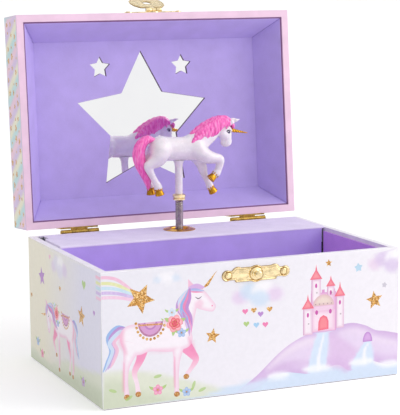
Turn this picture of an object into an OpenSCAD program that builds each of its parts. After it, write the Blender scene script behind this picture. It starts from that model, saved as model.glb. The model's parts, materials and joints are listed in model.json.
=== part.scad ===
// Musical jewellery box with a turning unicorn on a spring, modelled with its lid open.
// Frame: origin at the middle of the underside, +X to the right, +Y to the back, +Z up.

/* [Box] */
// Width of the box
box_w = 158; // [140:1:180]
// Depth of the box, front to back
box_d = 113; // [100:1:130]
// Height of the base without the lid
base_h = 65.4; // [60:0.2:75]
// Height of the lid
lid_h = 22.2; // [21:0.2:26]
// Thickness of the paper-covered boards
wall_t = 3.8; // [3:0.1:5]
// Angle at which the open lid rests on its hinge stops
lid_open = 94.8; // [90:0.2:100]

/* [Lining] */
// Thickness of the flocked card lining
card_t = 1.1; // [0.8:0.1:1.6]
// Depth from the lid's rim to the star panel
recess_depth = 17.8; // [15:0.2:18.4]
// How far the lid's lining slants inwards
lining_slant = 10.4; // [6:0.2:14]
// Height of the platform over the table
platform_z = 66.1; // [64:0.1:66.2]
// Depth of the platform, front to back
platform_d = 36.8; // [32:0.2:42]

/* [Figure] */
// Distance of the turning pole from the middle of the box
pole_y = 39.5; // [36:0.5:41]
// Outside diameter of the coil spring
spring_d = 4.3; // [3.6:0.1:5]
// Bottom of the brass collar on top of the spring
collar_z = 82; // [80:0.5:84]
// Outside diameter of the brass collar
collar_d = 7; // [6:0.2:8]
// Diameter of the white pole
pole_d = 4.1; // [3.6:0.1:5]

/* [Metalwork] */
// Width of each hinge
hinge_w = 21; // [16:0.5:26]
// Distance of each hinge from the middle of the box
hinge_x = 49.5; // [40:0.5:56]
// Distance of the hinge pin behind the back of the box
hinge_out = 2.6; // [2.2:0.1:3.2]
// Length of the latch plate on the base
latch_w = 36; // [28:1:44]
// Height of the latch knob's middle over the table
knob_z = 58.7; // [56:0.1:60]
// Angle of the hasp from hanging down to lying back on its stop
hasp_open = 158; // [120:1:165]

/* [Music movement] */
// Teeth of the spring barrel's crown wheel
crown_teeth = 40; // [40:4:40]
// Teeth of the pinion that the crown wheel turns
pinion_teeth = 12; // [12:1:12]
// Teeth of the great wheel over the cylinder
great_teeth = 60; // [60:1:60]
// Teeth of the governor's pinion
gov_pinion_teeth = 12; // [12:1:12]
// Teeth of the governor's worm wheel
worm_wheel_teeth = 20; // [20:2:20]
// Teeth of the comb
comb_teeth = 18; // [12:1:18]
// Height of the winding arbor over the table
barrel_z = 18; // [17:0.5:19]

/* [Hidden] */
$fn = 48;

// colours
paper_white = [0.95, 0.93, 0.97];
paper_pink = [0.92, 0.78, 0.88];
lilac = [0.70, 0.63, 0.89];
purple = [0.58, 0.44, 0.78];
brass = [0.86, 0.70, 0.36];
steel = [0.62, 0.62, 0.64];
dark_steel = [0.35, 0.34, 0.36];
glossy_white = [0.96, 0.95, 0.97];
hot_pink = [0.95, 0.40, 0.70];
gold_paint = [0.78, 0.56, 0.20];

// running and assembly clearances
eps = 0.01;
run_fit = 0.05;
hairline = 0.1;
rim_gap = 0.3;

// base
sheet_t = 0.4;
in_w = box_w - 2*wall_t;
in_d = box_d - 2*wall_t;
floor_z = sheet_t + 3.2;
lining_top = base_h - 2;
front_y = -box_d/2;
back_y = box_d/2;
in_back_y = in_d/2;
platform_back_y = in_back_y - 0.4;
platform_front_y = platform_back_y - platform_d;
platform_t = 1.2;
platform_w = in_w - 1.2;
edge_r = 1.1;
cover_hole_r = 5.6;
slot_l = 10;
cleat_w = 5;
cleat_h = 8;
ear_gap = 3;
ear_t = 1.6;
ring_hole_r = 4.9;
ring_barrel_t = 0.6;
ring_barrel_l = 3;
ring_r = 8.6;
ring_flange_t = 0.35;
ring_bead_r = 1.7;
ring_bead_h = 0.55;

// lid, in its closed place
rim_z = base_h + rim_gap;
lid_top_z = rim_z + lid_h;
panel_z = rim_z + recess_depth;
panel_t = 1.0;
mirror_t = 1.0;
top_board_z = panel_z + panel_t + mirror_t + hairline;
strip_rise = 0.8;
strip_t = 0.8;
mirror_w = 86;
mirror_d = 84;
mirror_y = 2;

// star cut-outs in the panel, in the closed lid's plan
star_x = -3.5;
star_y = 3;
star_r = 39.7;
star_waist = 0.52;
small_star_r = 6.1;
small_star_dx = 24;
small_star_y = -28.1;

// hinges
hinge_y = back_y + hinge_out;
hinge_z = base_h + rim_gap/2;
leaf_t = 0.8;
leaf_l = 12;
knuckle_r = 1.35;
knuckle_share = 0.45;
hinge_pin_r = 0.8;
notch_r = knuckle_r + 0.15;
nail_r = 0.5;
nail_head_r = 1.1;
nail_head_t = 0.4;
nail_l = 2.6;
nail_spread = 6.5;
leaf_nail_z = leaf_l/2 + 1.5;
leaf_gap = 0.2;
web_low = 0.35;
web_high = 1.25;

// latch and hasp
latch_t = 0.7;
latch_h = 8.4;
latch_nail_x = 14.6;
knob_r = 1.9;
knob_l = 3.6;
hasp_axis_z = rim_z + 4.1;
hasp_axis_y = front_y - 1.74;
hasp_plate_w = 33;
hasp_plate_h = 7;
hasp_plate_z = hasp_axis_z + 1.2;
hasp_knuckle_r = 1.1;
hasp_knuckle_w = 9;
hasp_t = 0.8;
hasp_disc_r = 9.8;
hasp_disc_h = 15.6;
hasp_tongue_r = 2;
hasp_hole_r = 2.5;
hasp_pin_r = 0.5;

// music movement
bed_t = 2;
bed_y = in_back_y - bed_t;
bed_left = -27;
bed_right = 29;
bed_low = 5.2;
bed_high = 57;
arbor_r = 1.0;
mod_crown = 0.5;
mod_train = 0.4;
crown_r = crown_teeth*mod_crown/2;
pinion_r = pinion_teeth*mod_crown/2;
pinion_w = 2.4;
pinion_z = barrel_z + crown_r;
crown_plane_y = pole_y + pinion_r;
barrel_r = 12;
barrel_face_y = crown_plane_y + 0.7;
barrel_back_y = bed_y - 0.5;
cylinder_r = 6.5;
cylinder_z = 31;
cylinder_l = 19;
great_z = 51.5;
wheel_t = 1.2;
great_r = great_teeth*mod_train/2;
gov_pinion_r = gov_pinion_teeth*mod_train/2;
gov_x = -(great_r + gov_pinion_r);
worm_wheel_r = worm_wheel_teeth*mod_train/2;
worm_wheel_z = 46;
worm_mean_r = 1.15;
worm_thread = 0.28;
worm_lead = PI*mod_train;
worm_turns = 4;
worm_x = gov_x - worm_wheel_r - worm_mean_r;
worm_z = worm_wheel_z + wheel_t/2;
worm_shaft_r = 0.5;
leg_y = 32.5;
leg_t = 1.8;
foot_z = 42.6;
foot_t = 1.4;
top_arm_z = 54;
arm_t = 2;
low_arm_z = 22;
low_arm_x = 13.6;
low_arm_half = 3;
low_post_w = 2.8;
screw_r = 1.0;
screw_places = [[-22, 8], [24, 8], [-22, 50], [14, 50]];
fan_y = 30;
fan_r = 4.4;
winding_r = 2;
comb_x = cylinder_r + 0.75;
comb_pitch = 1.0;
comb_t = 0.8;
post_x = 18;
post_w = 9;
post_low = 30.5;
post_high = 50.5;
comb_screw_x = post_x + 0.6*post_w;
comb_screw_r = 0.8;
comb_screw_heights = [34.5, 46.5];
key_gap = 1;
key_hub_l = 8;
key_hub_r = 3.4;
key_nose_r = 2.2;
key_wing_r = 6.2;
key_wing_x = 8;
key_wing_t = 2.2;
key_hole_x = 9;
key_hole_r = 2.4;

// stop lever
lever_x = -45;
lever_y = 46;
lever_z = 60;
lever_r = 0.8;
tip_x = -73.9;
tip_top = 68.6;
elbow_x = -30;
elbow_r = lever_r + 0.12;
catch_x = worm_x;
catch_y = fan_y - 1;
catch_z = 41;

// figure
spring_wire = 0.55;
spring_bottom = 59;
spring_seat_r = 2.6;
spring_seat_t = 1.8;
ferrule_l = 4.2;
ferrule_gap = 0.4;
peg_r = spring_d/2 - spring_wire - run_fit;
collar_h = 3.2;
pole_peg_r = 1.2;
belly_z = 103.6;

// --- shared shapes -------------------------------------------------------

// Puts what is modelled in the closed lid where the open lid holds it
module in_lid() {
  translate([0, hinge_y, hinge_z])
    rotate([-lid_open, 0, 0])
      translate([0, -hinge_y, -hinge_z])
        children();
}

// Puts what is modelled in the hanging hasp where the lifted hasp lies on the open lid
module in_hasp() {
  in_lid()
    translate([0, hasp_axis_y, hasp_axis_z])
      rotate([-hasp_open, 0, 0])
        translate([0, -hasp_axis_y, -hasp_axis_z])
          children();
}

module block(x0, x1, y0, y1, z0, z1) {
  translate([x0, y0, z0])
    cube([x1 - x0, y1 - y0, z1 - z0]);
}

module along_x(x, y, z, r, l) {
  translate([x, y, z])
    rotate([0, 90, 0])
      cylinder(r = r, h = l, center = true);
}

module along_y(x, y0, y1, z, r) {
  translate([x, y0, z])
    rotate([-90, 0, 0])
      cylinder(r = r, h = y1 - y0);
}

module along_z(x, y, z0, z1, r) {
  translate([x, y, z0])
    cylinder(r = r, h = z1 - z0);
}

// Five-pointed star with one point towards -Y
module star(r) {
  polygon([for (i = [0:9]) let (q = i % 2 == 0 ? r : r*star_waist, a = 36*i - 90) [q*cos(a), q*sin(a)]]);
}

// Angle from a gear's base circle to radius q along the involute, in degrees
function involute(q, base) = q <= base ? 0 : sqrt(pow(q/base, 2) - 1)*180/PI - acos(base/q);

// Half the angle of a tooth at radius q
function half_tooth(q, n, m) =
  let (r = n*m/2, base = r*cos(20), slack = 0.86)
    90/n*slack + involute(r, base) - involute(q, base);

// Spur gear outline with a tooth on +X
module gear(n, m) {
  r = n*m/2;
  radii = [r - 1.15*m, r - 0.4*m, r + 0.3*m, r + 0.8*m];
  polygon([for (i = [0:n - 1]) each concat(
    [for (q = radii) let (a = 360*i/n - half_tooth(q, n, m)) [q*cos(a), q*sin(a)]],
    [for (k = [3:-1:0]) let (q = radii[k], a = 360*i/n + half_tooth(q, n, m)) [q*cos(a), q*sin(a)]]
  )]);
}

// --- base ----------------------------------------------------------------

module underside_sheet() {
  color(paper_white)
    block(-box_w/2 + 0.5, box_w/2 - 0.5, front_y + 0.5, back_y - 0.5, 0, sheet_t);
}

module base_bottom_panel() {
  color(paper_white)
    block(-in_w/2, in_w/2, -in_d/2, in_d/2, sheet_t, floor_z);
}

module base_front_panel() {
  color(paper_white)
    difference() {
      block(-box_w/2, box_w/2, front_y, front_y + wall_t, sheet_t, base_h);
      for (s = [-1, 1])
        along_y(s*latch_nail_x, front_y - 1, front_y + nail_l, knob_z, nail_r);
      along_y(0, front_y - 1, front_y + nail_l, knob_z, knob_r/2);
    }
}

module base_back_panel() {
  color(paper_white)
    difference() {
      block(-box_w/2, box_w/2, back_y - wall_t, back_y, sheet_t, base_h);
      along_y(0, in_back_y - 1, back_y + 1, barrel_z, winding_r + 1.5);
      for (p = screw_places)
        along_y(p[0], in_back_y - 1, back_y + 1, p[1], screw_r);
      for (s = [-1, 1], d = [-1, 1])
        along_y(s*hinge_x + d*nail_spread, back_y - nail_l, back_y + 1, hinge_z - leaf_nail_z, nail_r);
    }
}

module base_side_panel(side) {
  color(paper_white)
    block(side > 0 ? in_w/2 : -box_w/2, side > 0 ? box_w/2 : -in_w/2, -in_d/2, in_d/2, sheet_t, base_h);
}

module base_left_panel() {
  base_side_panel(-1);
}

module base_right_panel() {
  base_side_panel(1);
}

module tray_floor_lining() {
  color(purple)
    block(-in_w/2 + card_t, in_w/2 - card_t, -in_d/2 + card_t, platform_front_y, floor_z, floor_z + card_t);
}

module tray_front_lining() {
  color(purple)
    block(-in_w/2, in_w/2, -in_d/2, -in_d/2 + card_t, floor_z, lining_top);
}

module tray_side_lining(side) {
  color(purple)
    block(side > 0 ? in_w/2 - card_t : -in_w/2, side > 0 ? in_w/2 : -in_w/2 + card_t,
          -in_d/2 + card_t, platform_front_y, floor_z, lining_top);
}

module tray_left_lining() {
  tray_side_lining(-1);
}

module tray_right_lining() {
  tray_side_lining(1);
}

module platform_front_wall() {
  color(purple)
    block(-platform_w/2, platform_w/2, platform_front_y + 0.1, platform_front_y + 1.9,
          floor_z, platform_z - platform_t);
}

// Card cover with rounded front and back edges, a hole for the grommet and a slot for the stop lever
module platform_cover() {
  color(lilac)
    difference() {
      translate([-platform_w/2, 0, 0])
        rotate([90, 0, 90])
          linear_extrude(platform_w)
            union() {
              translate([platform_front_y + edge_r, platform_z - platform_t])
                square([platform_d - 2*edge_r, platform_t]);
              for (y = [platform_front_y + edge_r, platform_back_y - edge_r])
                intersection() {
                  translate([y, platform_z - edge_r])
                    circle(edge_r);
                  translate([y - edge_r, platform_z - platform_t])
                    square([2*edge_r, platform_t]);
                }
            }
      along_z(0, pole_y, platform_z - 2, platform_z + 1, cover_hole_r);
      block(tip_x - 2, tip_x + 1.3, lever_y - slot_l/2, lever_y + slot_l/2, platform_z - 2, platform_z + 1);
    }
}

// Glued blocks under the platform: two end cleats and the two ears that hold the stop lever
module platform_brackets() {
  color(paper_white) {
    for (s = [-1, 1])
      block(s > 0 ? in_w/2 - cleat_w : -in_w/2, s > 0 ? in_w/2 : -in_w/2 + cleat_w,
            platform_front_y + 2.5, lever_y - slot_l/2 - 1,
            platform_z - platform_t - cleat_h, platform_z - platform_t);
    for (s = [-1, 1])
      difference() {
        block(lever_x - 3, lever_x + 3, lever_y + s*ear_gap - ear_t/2, lever_y + s*ear_gap + ear_t/2,
              lever_z - 2.5, platform_z - platform_t);
        along_y(lever_x, lever_y - 5, lever_y + 5, lever_z, lever_r + run_fit);
      }
  }
}

// Eyelet with a rolled rim on the platform and a barrel through it
module grommet_ring() {
  color(brass)
    translate([0, pole_y, 0])
      rotate_extrude()
        union() {
          translate([ring_hole_r, platform_z - ring_barrel_l])
            square([ring_barrel_t, ring_barrel_l + 0.5]);
          translate([ring_hole_r, platform_z])
            square([ring_r - ring_hole_r, ring_flange_t]);
          translate([(ring_hole_r + ring_r)/2, platform_z + ring_flange_t])
            intersection() {
              circle(r = ring_bead_r);
              translate([-ring_bead_r, 0])
                square([2*ring_bead_r, ring_bead_h]);
            }
        }
}

// --- lid -----------------------------------------------------------------

module lid_top_panel() {
  color(paper_pink)
    in_lid()
      block(-box_w/2, box_w/2, front_y, back_y, top_board_z, lid_top_z);
}

module lid_front_rail() {
  color(paper_pink)
    in_lid()
      difference() {
        block(-box_w/2, box_w/2, front_y, front_y + wall_t, rim_z, top_board_z);
        for (s = [-1, 1])
          along_y(s*latch_nail_x, front_y - 1, front_y + nail_l, hasp_plate_z, nail_r);
      }
}

module lid_back_rail() {
  color(paper_pink)
    in_lid()
      difference() {
        block(-box_w/2, box_w/2, back_y - wall_t, back_y, rim_z, top_board_z);
        for (s = [-1, 1], d = [-1, 1])
          along_y(s*hinge_x + d*nail_spread, back_y - nail_l, back_y + 1, hinge_z + leaf_nail_z, nail_r);
      }
}

module lid_side_rail(side) {
  color(paper_pink)
    in_lid()
      block(side > 0 ? in_w/2 : -box_w/2, side > 0 ? box_w/2 : -in_w/2, -in_d/2, in_d/2, rim_z, top_board_z);
}

module lid_left_rail() {
  lid_side_rail(-1);
}

module lid_right_rail() {
  lid_side_rail(1);
}

// Slanted card with mitred ends, from the rail at -half_d down to the panel
module lining_strip(half_w, half_d) {
  low = rim_z + strip_rise;
  high = panel_z - 0.02;
  in_out = hairline;
  // plan distance of each edge from the rail, and its height
  edges = [[in_out, low], [in_out + strip_t, low], [lining_slant, high], [lining_slant - strip_t, high]];
  mitre = 0.05;
  polyhedron(
    points = [for (s = [-1, 1], e = edges) [s*(half_w - e[0] - mitre), -half_d + e[0], e[1]]],
    faces = [[3, 2, 1, 0], [4, 5, 6, 7], [0, 1, 5, 4], [1, 2, 6, 5], [2, 3, 7, 6], [3, 0, 4, 7]]
  );
}

module lid_front_lining() {
  color(lilac)
    in_lid()
      lining_strip(in_w/2, in_d/2);
}

module lid_back_lining() {
  color(lilac)
    in_lid()
      rotate([0, 0, 180])
        lining_strip(in_w/2, in_d/2);
}

module lid_left_lining() {
  color(lilac)
    in_lid()
      rotate([0, 0, -90])
        lining_strip(in_d/2, in_w/2);
}

module lid_right_lining() {
  color(lilac)
    in_lid()
      rotate([0, 0, 90])
        lining_strip(in_d/2, in_w/2);
}

module mirror() {
  color("gainsboro")
    in_lid()
      block(star_x - mirror_w/2, star_x + mirror_w/2, mirror_y - mirror_d/2, mirror_y + mirror_d/2,
            panel_z + panel_t, panel_z + panel_t + mirror_t);
}

module star_panel() {
  color(lilac)
    in_lid()
      translate([0, 0, panel_z])
        linear_extrude(panel_t)
          difference() {
            square([in_w - 0.3, in_d - 0.3], center = true);
            translate([star_x, star_y])
              star(star_r);
            for (s = [-1, 1])
              translate([star_x + s*small_star_dx, small_star_y])
                star(small_star_r);
          }
}

// --- hinges --------------------------------------------------------------

// One leaf of a butt hinge on the back of the box. side is -1 for the base leaf, under the pin, and 1 for the
// lid leaf, over it. The base leaf has the two outer knuckles and the lid leaf the middle one.
module hinge_leaf(x, side) {
  mid = hinge_w*knuckle_share;
  outer = (hinge_w - mid)/2;
  sides = [-(mid + outer)/2, (mid + outer)/2];
  own = side > 0 ? [[0, mid - leaf_gap]] : [for (k = sides) [k, outer]];
  others = side > 0 ? [for (k = sides) [k, outer + leaf_gap]] : [[0, mid]];
  top = hinge_z + side*leaf_gap;
  color(brass)
    translate([x, 0, 0])
      difference() {
        union() {
          difference() {
            block(-hinge_w/2, hinge_w/2, back_y, back_y + leaf_t,
                  min(top, hinge_z + side*leaf_l), max(top, hinge_z + side*leaf_l));
            for (k = others)
              along_x(k[0], hinge_y, hinge_z, notch_r, k[1]);
          }
          for (k = own) {
            along_x(k[0], hinge_y, hinge_z, knuckle_r, k[1]);
            block(k[0] - k[1]/2, k[0] + k[1]/2, back_y, hinge_y - 0.4,
                  hinge_z + (side > 0 ? web_low : -web_high), hinge_z + (side > 0 ? web_high : -web_low));
          }
        }
        along_x(0, hinge_y, hinge_z, hinge_pin_r + run_fit, hinge_w + 2);
        for (d = [-1, 1])
          along_y(d*nail_spread, back_y - 1, back_y + 2, hinge_z + side*leaf_nail_z, nail_r);
      }
}

module left_hinge_base_leaf() {
  hinge_leaf(-hinge_x, -1);
}

module right_hinge_base_leaf() {
  hinge_leaf(hinge_x, -1);
}

module left_hinge_lid_leaf() {
  in_lid()
    hinge_leaf(-hinge_x, 1);
}

module right_hinge_lid_leaf() {
  in_lid()
    hinge_leaf(hinge_x, 1);
}

module hinge_pins() {
  color(brass)
    for (s = [-1, 1])
      along_x(s*hinge_x, hinge_y, hinge_z, hinge_pin_r, hinge_w + 0.6);
}

// Nail with its head on a plate at y, driven towards +Y or -Y
module nail(x, y, z, into) {
  head_y = into > 0 ? y - nail_head_t : y;
  body_y = into > 0 ? y : y - nail_l;
  color(brass) {
    along_y(x, head_y, head_y + nail_head_t, z, nail_head_r);
    along_y(x, body_y - (into > 0 ? eps : 0), body_y + nail_l + (into > 0 ? 0 : eps), z, nail_r - eps);
  }
}

module hinge_base_nails() {
  for (s = [-1, 1], d = [-1, 1])
    nail(s*hinge_x + d*nail_spread, back_y + leaf_t, hinge_z - leaf_nail_z, -1);
}

module hinge_lid_nails() {
  in_lid()
    for (s = [-1, 1], d = [-1, 1])
      nail(s*hinge_x + d*nail_spread, back_y + leaf_t, hinge_z + leaf_nail_z, -1);
}

// --- latch and hasp ------------------------------------------------------

// Scalloped plate outline: a round middle, two round ends and waisted arms between them
module plate_outline(w, h) {
  circle(h/2);
  square([w*0.6, h*0.84], center = true);
  square([w - h, h*0.55], center = true);
  for (s = [-1, 1]) {
    translate([s*(w/2 - h*0.32), 0])
      circle(h*0.32);
    translate([s*w*0.27, h*0.08])
      circle(h*0.4);
  }
}

module latch_plate() {
  color(brass)
    difference() {
      translate([0, front_y, knob_z])
        rotate([90, 0, 0])
          linear_extrude(latch_t)
            plate_outline(latch_w, latch_h);
      for (s = [-1, 1])
        along_y(s*latch_nail_x, front_y - 2, front_y + 1, knob_z, nail_r);
      along_y(0, front_y - 2, front_y + 1, knob_z, knob_r/2);
    }
}

// Round-nosed knob with a waist for the hasp, riveted through the latch plate
module latch_knob() {
  color(brass)
    translate([0, front_y - latch_t, knob_z])
      rotate([90, 0, 0]) {
        rotate_extrude()
          polygon([[0, 0], [knob_r, 0], [knob_r*0.75, knob_l*0.35], [knob_r*0.75, knob_l*0.55],
                   [knob_r, knob_l*0.75], [knob_r*0.8, knob_l*0.93], [knob_r*0.3, knob_l], [0, knob_l]]);
        translate([0, 0, -latch_t - nail_l + 0.2])
          cylinder(r = knob_r/2 - eps, h = latch_t + nail_l);
      }
}

module latch_nails() {
  for (s = [-1, 1])
    nail(s*latch_nail_x, front_y - latch_t, knob_z, 1);
}

// Plate on the lid's front with two outer knuckles
module hasp_plate() {
  color(brass)
    in_lid()
      difference() {
        union() {
          difference() {
            translate([0, front_y, hasp_plate_z])
              rotate([90, 0, 0])
                linear_extrude(latch_t)
                  plate_outline(hasp_plate_w, hasp_plate_h);
            along_x(0, hasp_axis_y, hasp_axis_z, hasp_knuckle_r + 0.2, hasp_knuckle_w/3 + 0.4);
          }
          for (s = [-1, 1]) {
            along_x(s*hasp_knuckle_w/3, hasp_axis_y, hasp_axis_z, hasp_knuckle_r, hasp_knuckle_w/3);
            block(s*hasp_knuckle_w/3 - hasp_knuckle_w/6, s*hasp_knuckle_w/3 + hasp_knuckle_w/6,
                  hasp_axis_y, front_y - 0.1, hasp_axis_z + 0.3, hasp_axis_z + 0.9);
          }
        }
        along_x(0, hasp_axis_y, hasp_axis_z, hasp_pin_r + run_fit, hasp_knuckle_w + 2);
        for (s = [-1, 1])
          along_y(s*latch_nail_x, front_y - 2, front_y + 1, hasp_plate_z, nail_r);
      }
}

// Hanging flap: a knuckle, a neck and a pierced disc that drops over the knob
module hasp_flap() {
  color(brass)
    in_hasp()
      difference() {
        union() {
          along_x(0, hasp_axis_y, hasp_axis_z, hasp_knuckle_r, hasp_knuckle_w/3 - 0.2);
          block(-hasp_knuckle_w/6 + 0.1, hasp_knuckle_w/6 - 0.1,
                hasp_axis_y - hasp_t/2, hasp_axis_y + hasp_t/2, knob_z + 5, hasp_axis_z);
          translate([0, hasp_axis_y + hasp_t/2, knob_z])
            rotate([90, 0, 0])
              linear_extrude(hasp_t)
                hasp_outline();
        }
        along_x(0, hasp_axis_y, hasp_axis_z, hasp_pin_r + run_fit, hasp_knuckle_w + 2);
        along_y(0, hasp_axis_y - 2, hasp_axis_y + 2, knob_z, hasp_hole_r);
      }
}

// Oval disc with a small tongue at the bottom
module hasp_outline() {
  intersection() {
    circle(hasp_disc_r);
    square([2*hasp_disc_r, hasp_disc_h], center = true);
  }
  translate([0, -hasp_disc_h/2 + 0.2])
    circle(hasp_tongue_r);
}

module hasp_pin() {
  color(steel)
    in_lid()
      along_x(0, hasp_axis_y, hasp_axis_z, hasp_pin_r, hasp_knuckle_w + 0.4);
}

module hasp_nails() {
  in_lid()
    for (s = [-1, 1])
      nail(s*latch_nail_x, front_y - latch_t, hasp_plate_z, 1);
}

// --- music movement ------------------------------------------------------

// Die-cast bedplate with the arms and posts that carry the arbors and the comb, and a window that the great
// wheel turns in
module movement_frame() {
  window = sqrt(pow(great_r + 1, 2) - pow(bed_y - pole_y, 2));
  color(steel)
    difference() {
      union() {
        block(bed_left, bed_right, bed_y, in_back_y, bed_low, bed_high);
        // top arm, the leg in front of the worm and the foot under the governor wheel
        block(worm_x - 3.5, 5, leg_y, bed_y, top_arm_z, top_arm_z + arm_t);
        block(worm_x - 3.5, worm_x + 3, leg_y, leg_y + leg_t, foot_z, top_arm_z);
        block(worm_x + 2, gov_x + 2.2, leg_y, leg_y + leg_t, foot_z, foot_z + foot_t);
        block(worm_x + 3, gov_x + 2.2, leg_y, pole_y + 2, foot_z, foot_z + foot_t);
        // post and low arm under the cylinder
        block(low_arm_x, low_arm_x + low_post_w, pole_y - low_arm_half, bed_y, low_arm_z, low_arm_z + 3);
        block(-2.5, low_arm_x, pole_y - low_arm_half, pole_y + 1.9, low_arm_z, low_arm_z + arm_t);
        // post for the comb
        block(post_x, post_x + post_w, pole_y + comb_t/2, bed_y, post_low, post_high);
      }
      block(-window, window, bed_y - 1, in_back_y + 1, great_z - 0.8, great_z + wheel_t + 0.8);
      along_y(0, bed_y - 1, in_back_y + 1, barrel_z, winding_r + run_fit);
      along_y(worm_x, leg_y - 1, in_back_y + 1, worm_z, worm_shaft_r + run_fit);
      along_z(0, pole_y, 21, 60, arbor_r + run_fit);
      along_z(gov_x, pole_y, 40, 60, worm_shaft_r + run_fit);
      for (p = screw_places)
        along_y(p[0], bed_y - 1, in_back_y + 1, p[1], screw_r);
      for (z = comb_screw_heights)
        along_y(comb_screw_x, pole_y, pole_y + 7, z, comb_screw_r);
    }
}

// Screw along Y with its head at y_head, driven towards +Y where into is 1 and towards -Y where it is -1
module screw_y(x, y_head, z, r, l, into) {
  along_y(x, into > 0 ? y_head - r : y_head, into > 0 ? y_head : y_head + r, z, 1.8*r);
  along_y(x, into > 0 ? y_head - eps : y_head - l, into > 0 ? y_head + l : y_head + eps, z, r - eps);
}

module movement_screws() {
  color(steel)
    for (p = screw_places)
      screw_y(p[0], back_y, p[1], screw_r, wall_t + bed_t - 0.3, -1);
}

// Tuned steel comb, whose teeth reach from the post to the cylinder's pins
module comb() {
  comb_l = comb_teeth*comb_pitch;
  comb_z = cylinder_z + (cylinder_l - comb_l)/2;
  color(dark_steel)
    difference() {
      block(comb_x, post_x + post_w, pole_y - comb_t/2, pole_y + comb_t/2, comb_z, comb_z + comb_l);
      for (i = [1:comb_teeth - 1])
        block(comb_x - 1, comb_x + 6 + 4*i/comb_teeth, pole_y - 1, pole_y + 1,
              comb_z + i*comb_pitch - 0.1, comb_z + i*comb_pitch + 0.1);
      for (z = comb_screw_heights)
        along_y(comb_screw_x, pole_y - 1, pole_y + 1, z, comb_screw_r);
    }
}

module comb_screws() {
  color(steel)
    for (z = comb_screw_heights)
      screw_y(comb_screw_x, pole_y - comb_t/2, z, comb_screw_r, 5, 1);
}

// Brass cylinder whose pins pluck the comb, one ring of pins for each tooth
module music_cylinder() {
  pin_l = 0.5;
  pin_w = 0.3;
  first_pin_z = (cylinder_l - comb_teeth*comb_pitch)/2 + comb_pitch/2;
  color(brass)
    translate([0, pole_y, cylinder_z])
      difference() {
        union() {
          cylinder(r = cylinder_r, h = cylinder_l);
          for (i = [0:comb_teeth - 1], k = [0:1])
            rotate([0, 0, 24 + 137.5*i + 150*k])
              translate([cylinder_r - 0.2, -pin_w/2, first_pin_z + i*comb_pitch - pin_w/2])
                cube([pin_l + 0.2, pin_w, pin_w]);
        }
        translate([0, 0, -1])
          cylinder(r = arbor_r, h = cylinder_l + 2);
      }
}

// Upright arbor: crown pinion, great wheel and the peg that carries the coil spring
module drive_arbor() {
  color(brass)
    translate([0, pole_y, 0]) {
      translate([0, 0, low_arm_z - 0.6])
        cylinder(r = arbor_r, h = spring_bottom - low_arm_z);
      translate([0, 0, pinion_z - pinion_w/2])
        linear_extrude(pinion_w)
          rotate([0, 0, 180/pinion_teeth])
            gear(pinion_teeth, mod_crown);
      translate([0, 0, great_z])
        linear_extrude(wheel_t)
          gear(great_teeth, mod_train);
      translate([0, 0, spring_bottom - spring_seat_t])
        cylinder(r = spring_seat_r, h = spring_seat_t);
      translate([0, 0, spring_bottom - eps])
        cylinder(r = peg_r, h = 7.5);
    }
}

// Drum for the mainspring, with crown teeth on its front
module spring_barrel() {
  tooth_w = PI*mod_crown;
  tooth_h = 1.1;
  tooth_l = 1.4;
  wall = 1;
  color(brass)
    translate([0, 0, barrel_z])
      difference() {
        union() {
          along_y(0, barrel_face_y, barrel_back_y, 0, barrel_r);
          for (i = [0:crown_teeth - 1])
            rotate([0, 360*i/crown_teeth, 0])
              translate([0, barrel_face_y + eps, crown_r - tooth_l/2])
                linear_extrude(tooth_l)
                  polygon([[-tooth_w*0.27, 0], [-tooth_w*0.1, -tooth_h], [tooth_w*0.1, -tooth_h],
                           [tooth_w*0.27, 0]]);
        }
        along_y(0, barrel_face_y + wall, barrel_back_y + 1, 0, barrel_r - wall);
        along_y(0, barrel_face_y - 2, barrel_face_y + 2, 0, winding_r + run_fit);
      }
}

// Flat coiled strip from the arbor out to the drum's wall
module mainspring() {
  turns = 6;
  steps = 20;
  strip = 0.45;
  inner = winding_r + 0.5;
  outer = barrel_r - 1.3;
  path = [for (i = [0:turns*steps]) [inner + (outer - inner - strip)*i/(turns*steps), 360*i/steps]];
  color(dark_steel)
    translate([0, barrel_back_y - 0.3, barrel_z])
      rotate([90, 0, 0])
        linear_extrude(barrel_back_y - barrel_face_y - 1.6)
          polygon(concat(
            [for (p = path) [p[0]*cos(p[1]), p[0]*sin(p[1])]],
            [for (i = [len(path) - 1:-1:0]) let (p = path[i], q = p[0] + strip) [q*cos(p[1]), q*sin(p[1])]]
          ));
}

module winding_arbor() {
  color(steel)
    along_y(0, barrel_face_y + 0.2, back_y + key_hub_l, barrel_z, winding_r);
}

// Two-winged key screwed on the arbor behind the box
module winding_key() {
  hub_y = back_y + key_gap;
  hub_end_y = hub_y + key_hub_l;
  color(brass)
    difference() {
      union() {
        along_y(0, hub_y, hub_end_y, barrel_z, key_hub_r);
        translate([0, hub_end_y - eps, barrel_z])
          rotate([-90, 0, 0])
            cylinder(r1 = key_hub_r, r2 = key_nose_r, h = 2);
        translate([0, hub_end_y - 2, barrel_z])
          rotate([-90, 0, 0])
            linear_extrude(key_wing_t) {
              square([2*key_wing_x, 5.2], center = true);
              for (s = [-1, 1])
                translate([s*key_wing_x, 0])
                  circle(key_wing_r);
            }
      }
      along_y(0, hub_y - 1, back_y + key_hub_l, barrel_z, winding_r);
      for (s = [-1, 1])
        along_y(s*key_hole_x, hub_y, hub_end_y + 4, barrel_z, key_hole_r);
    }
}

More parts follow.
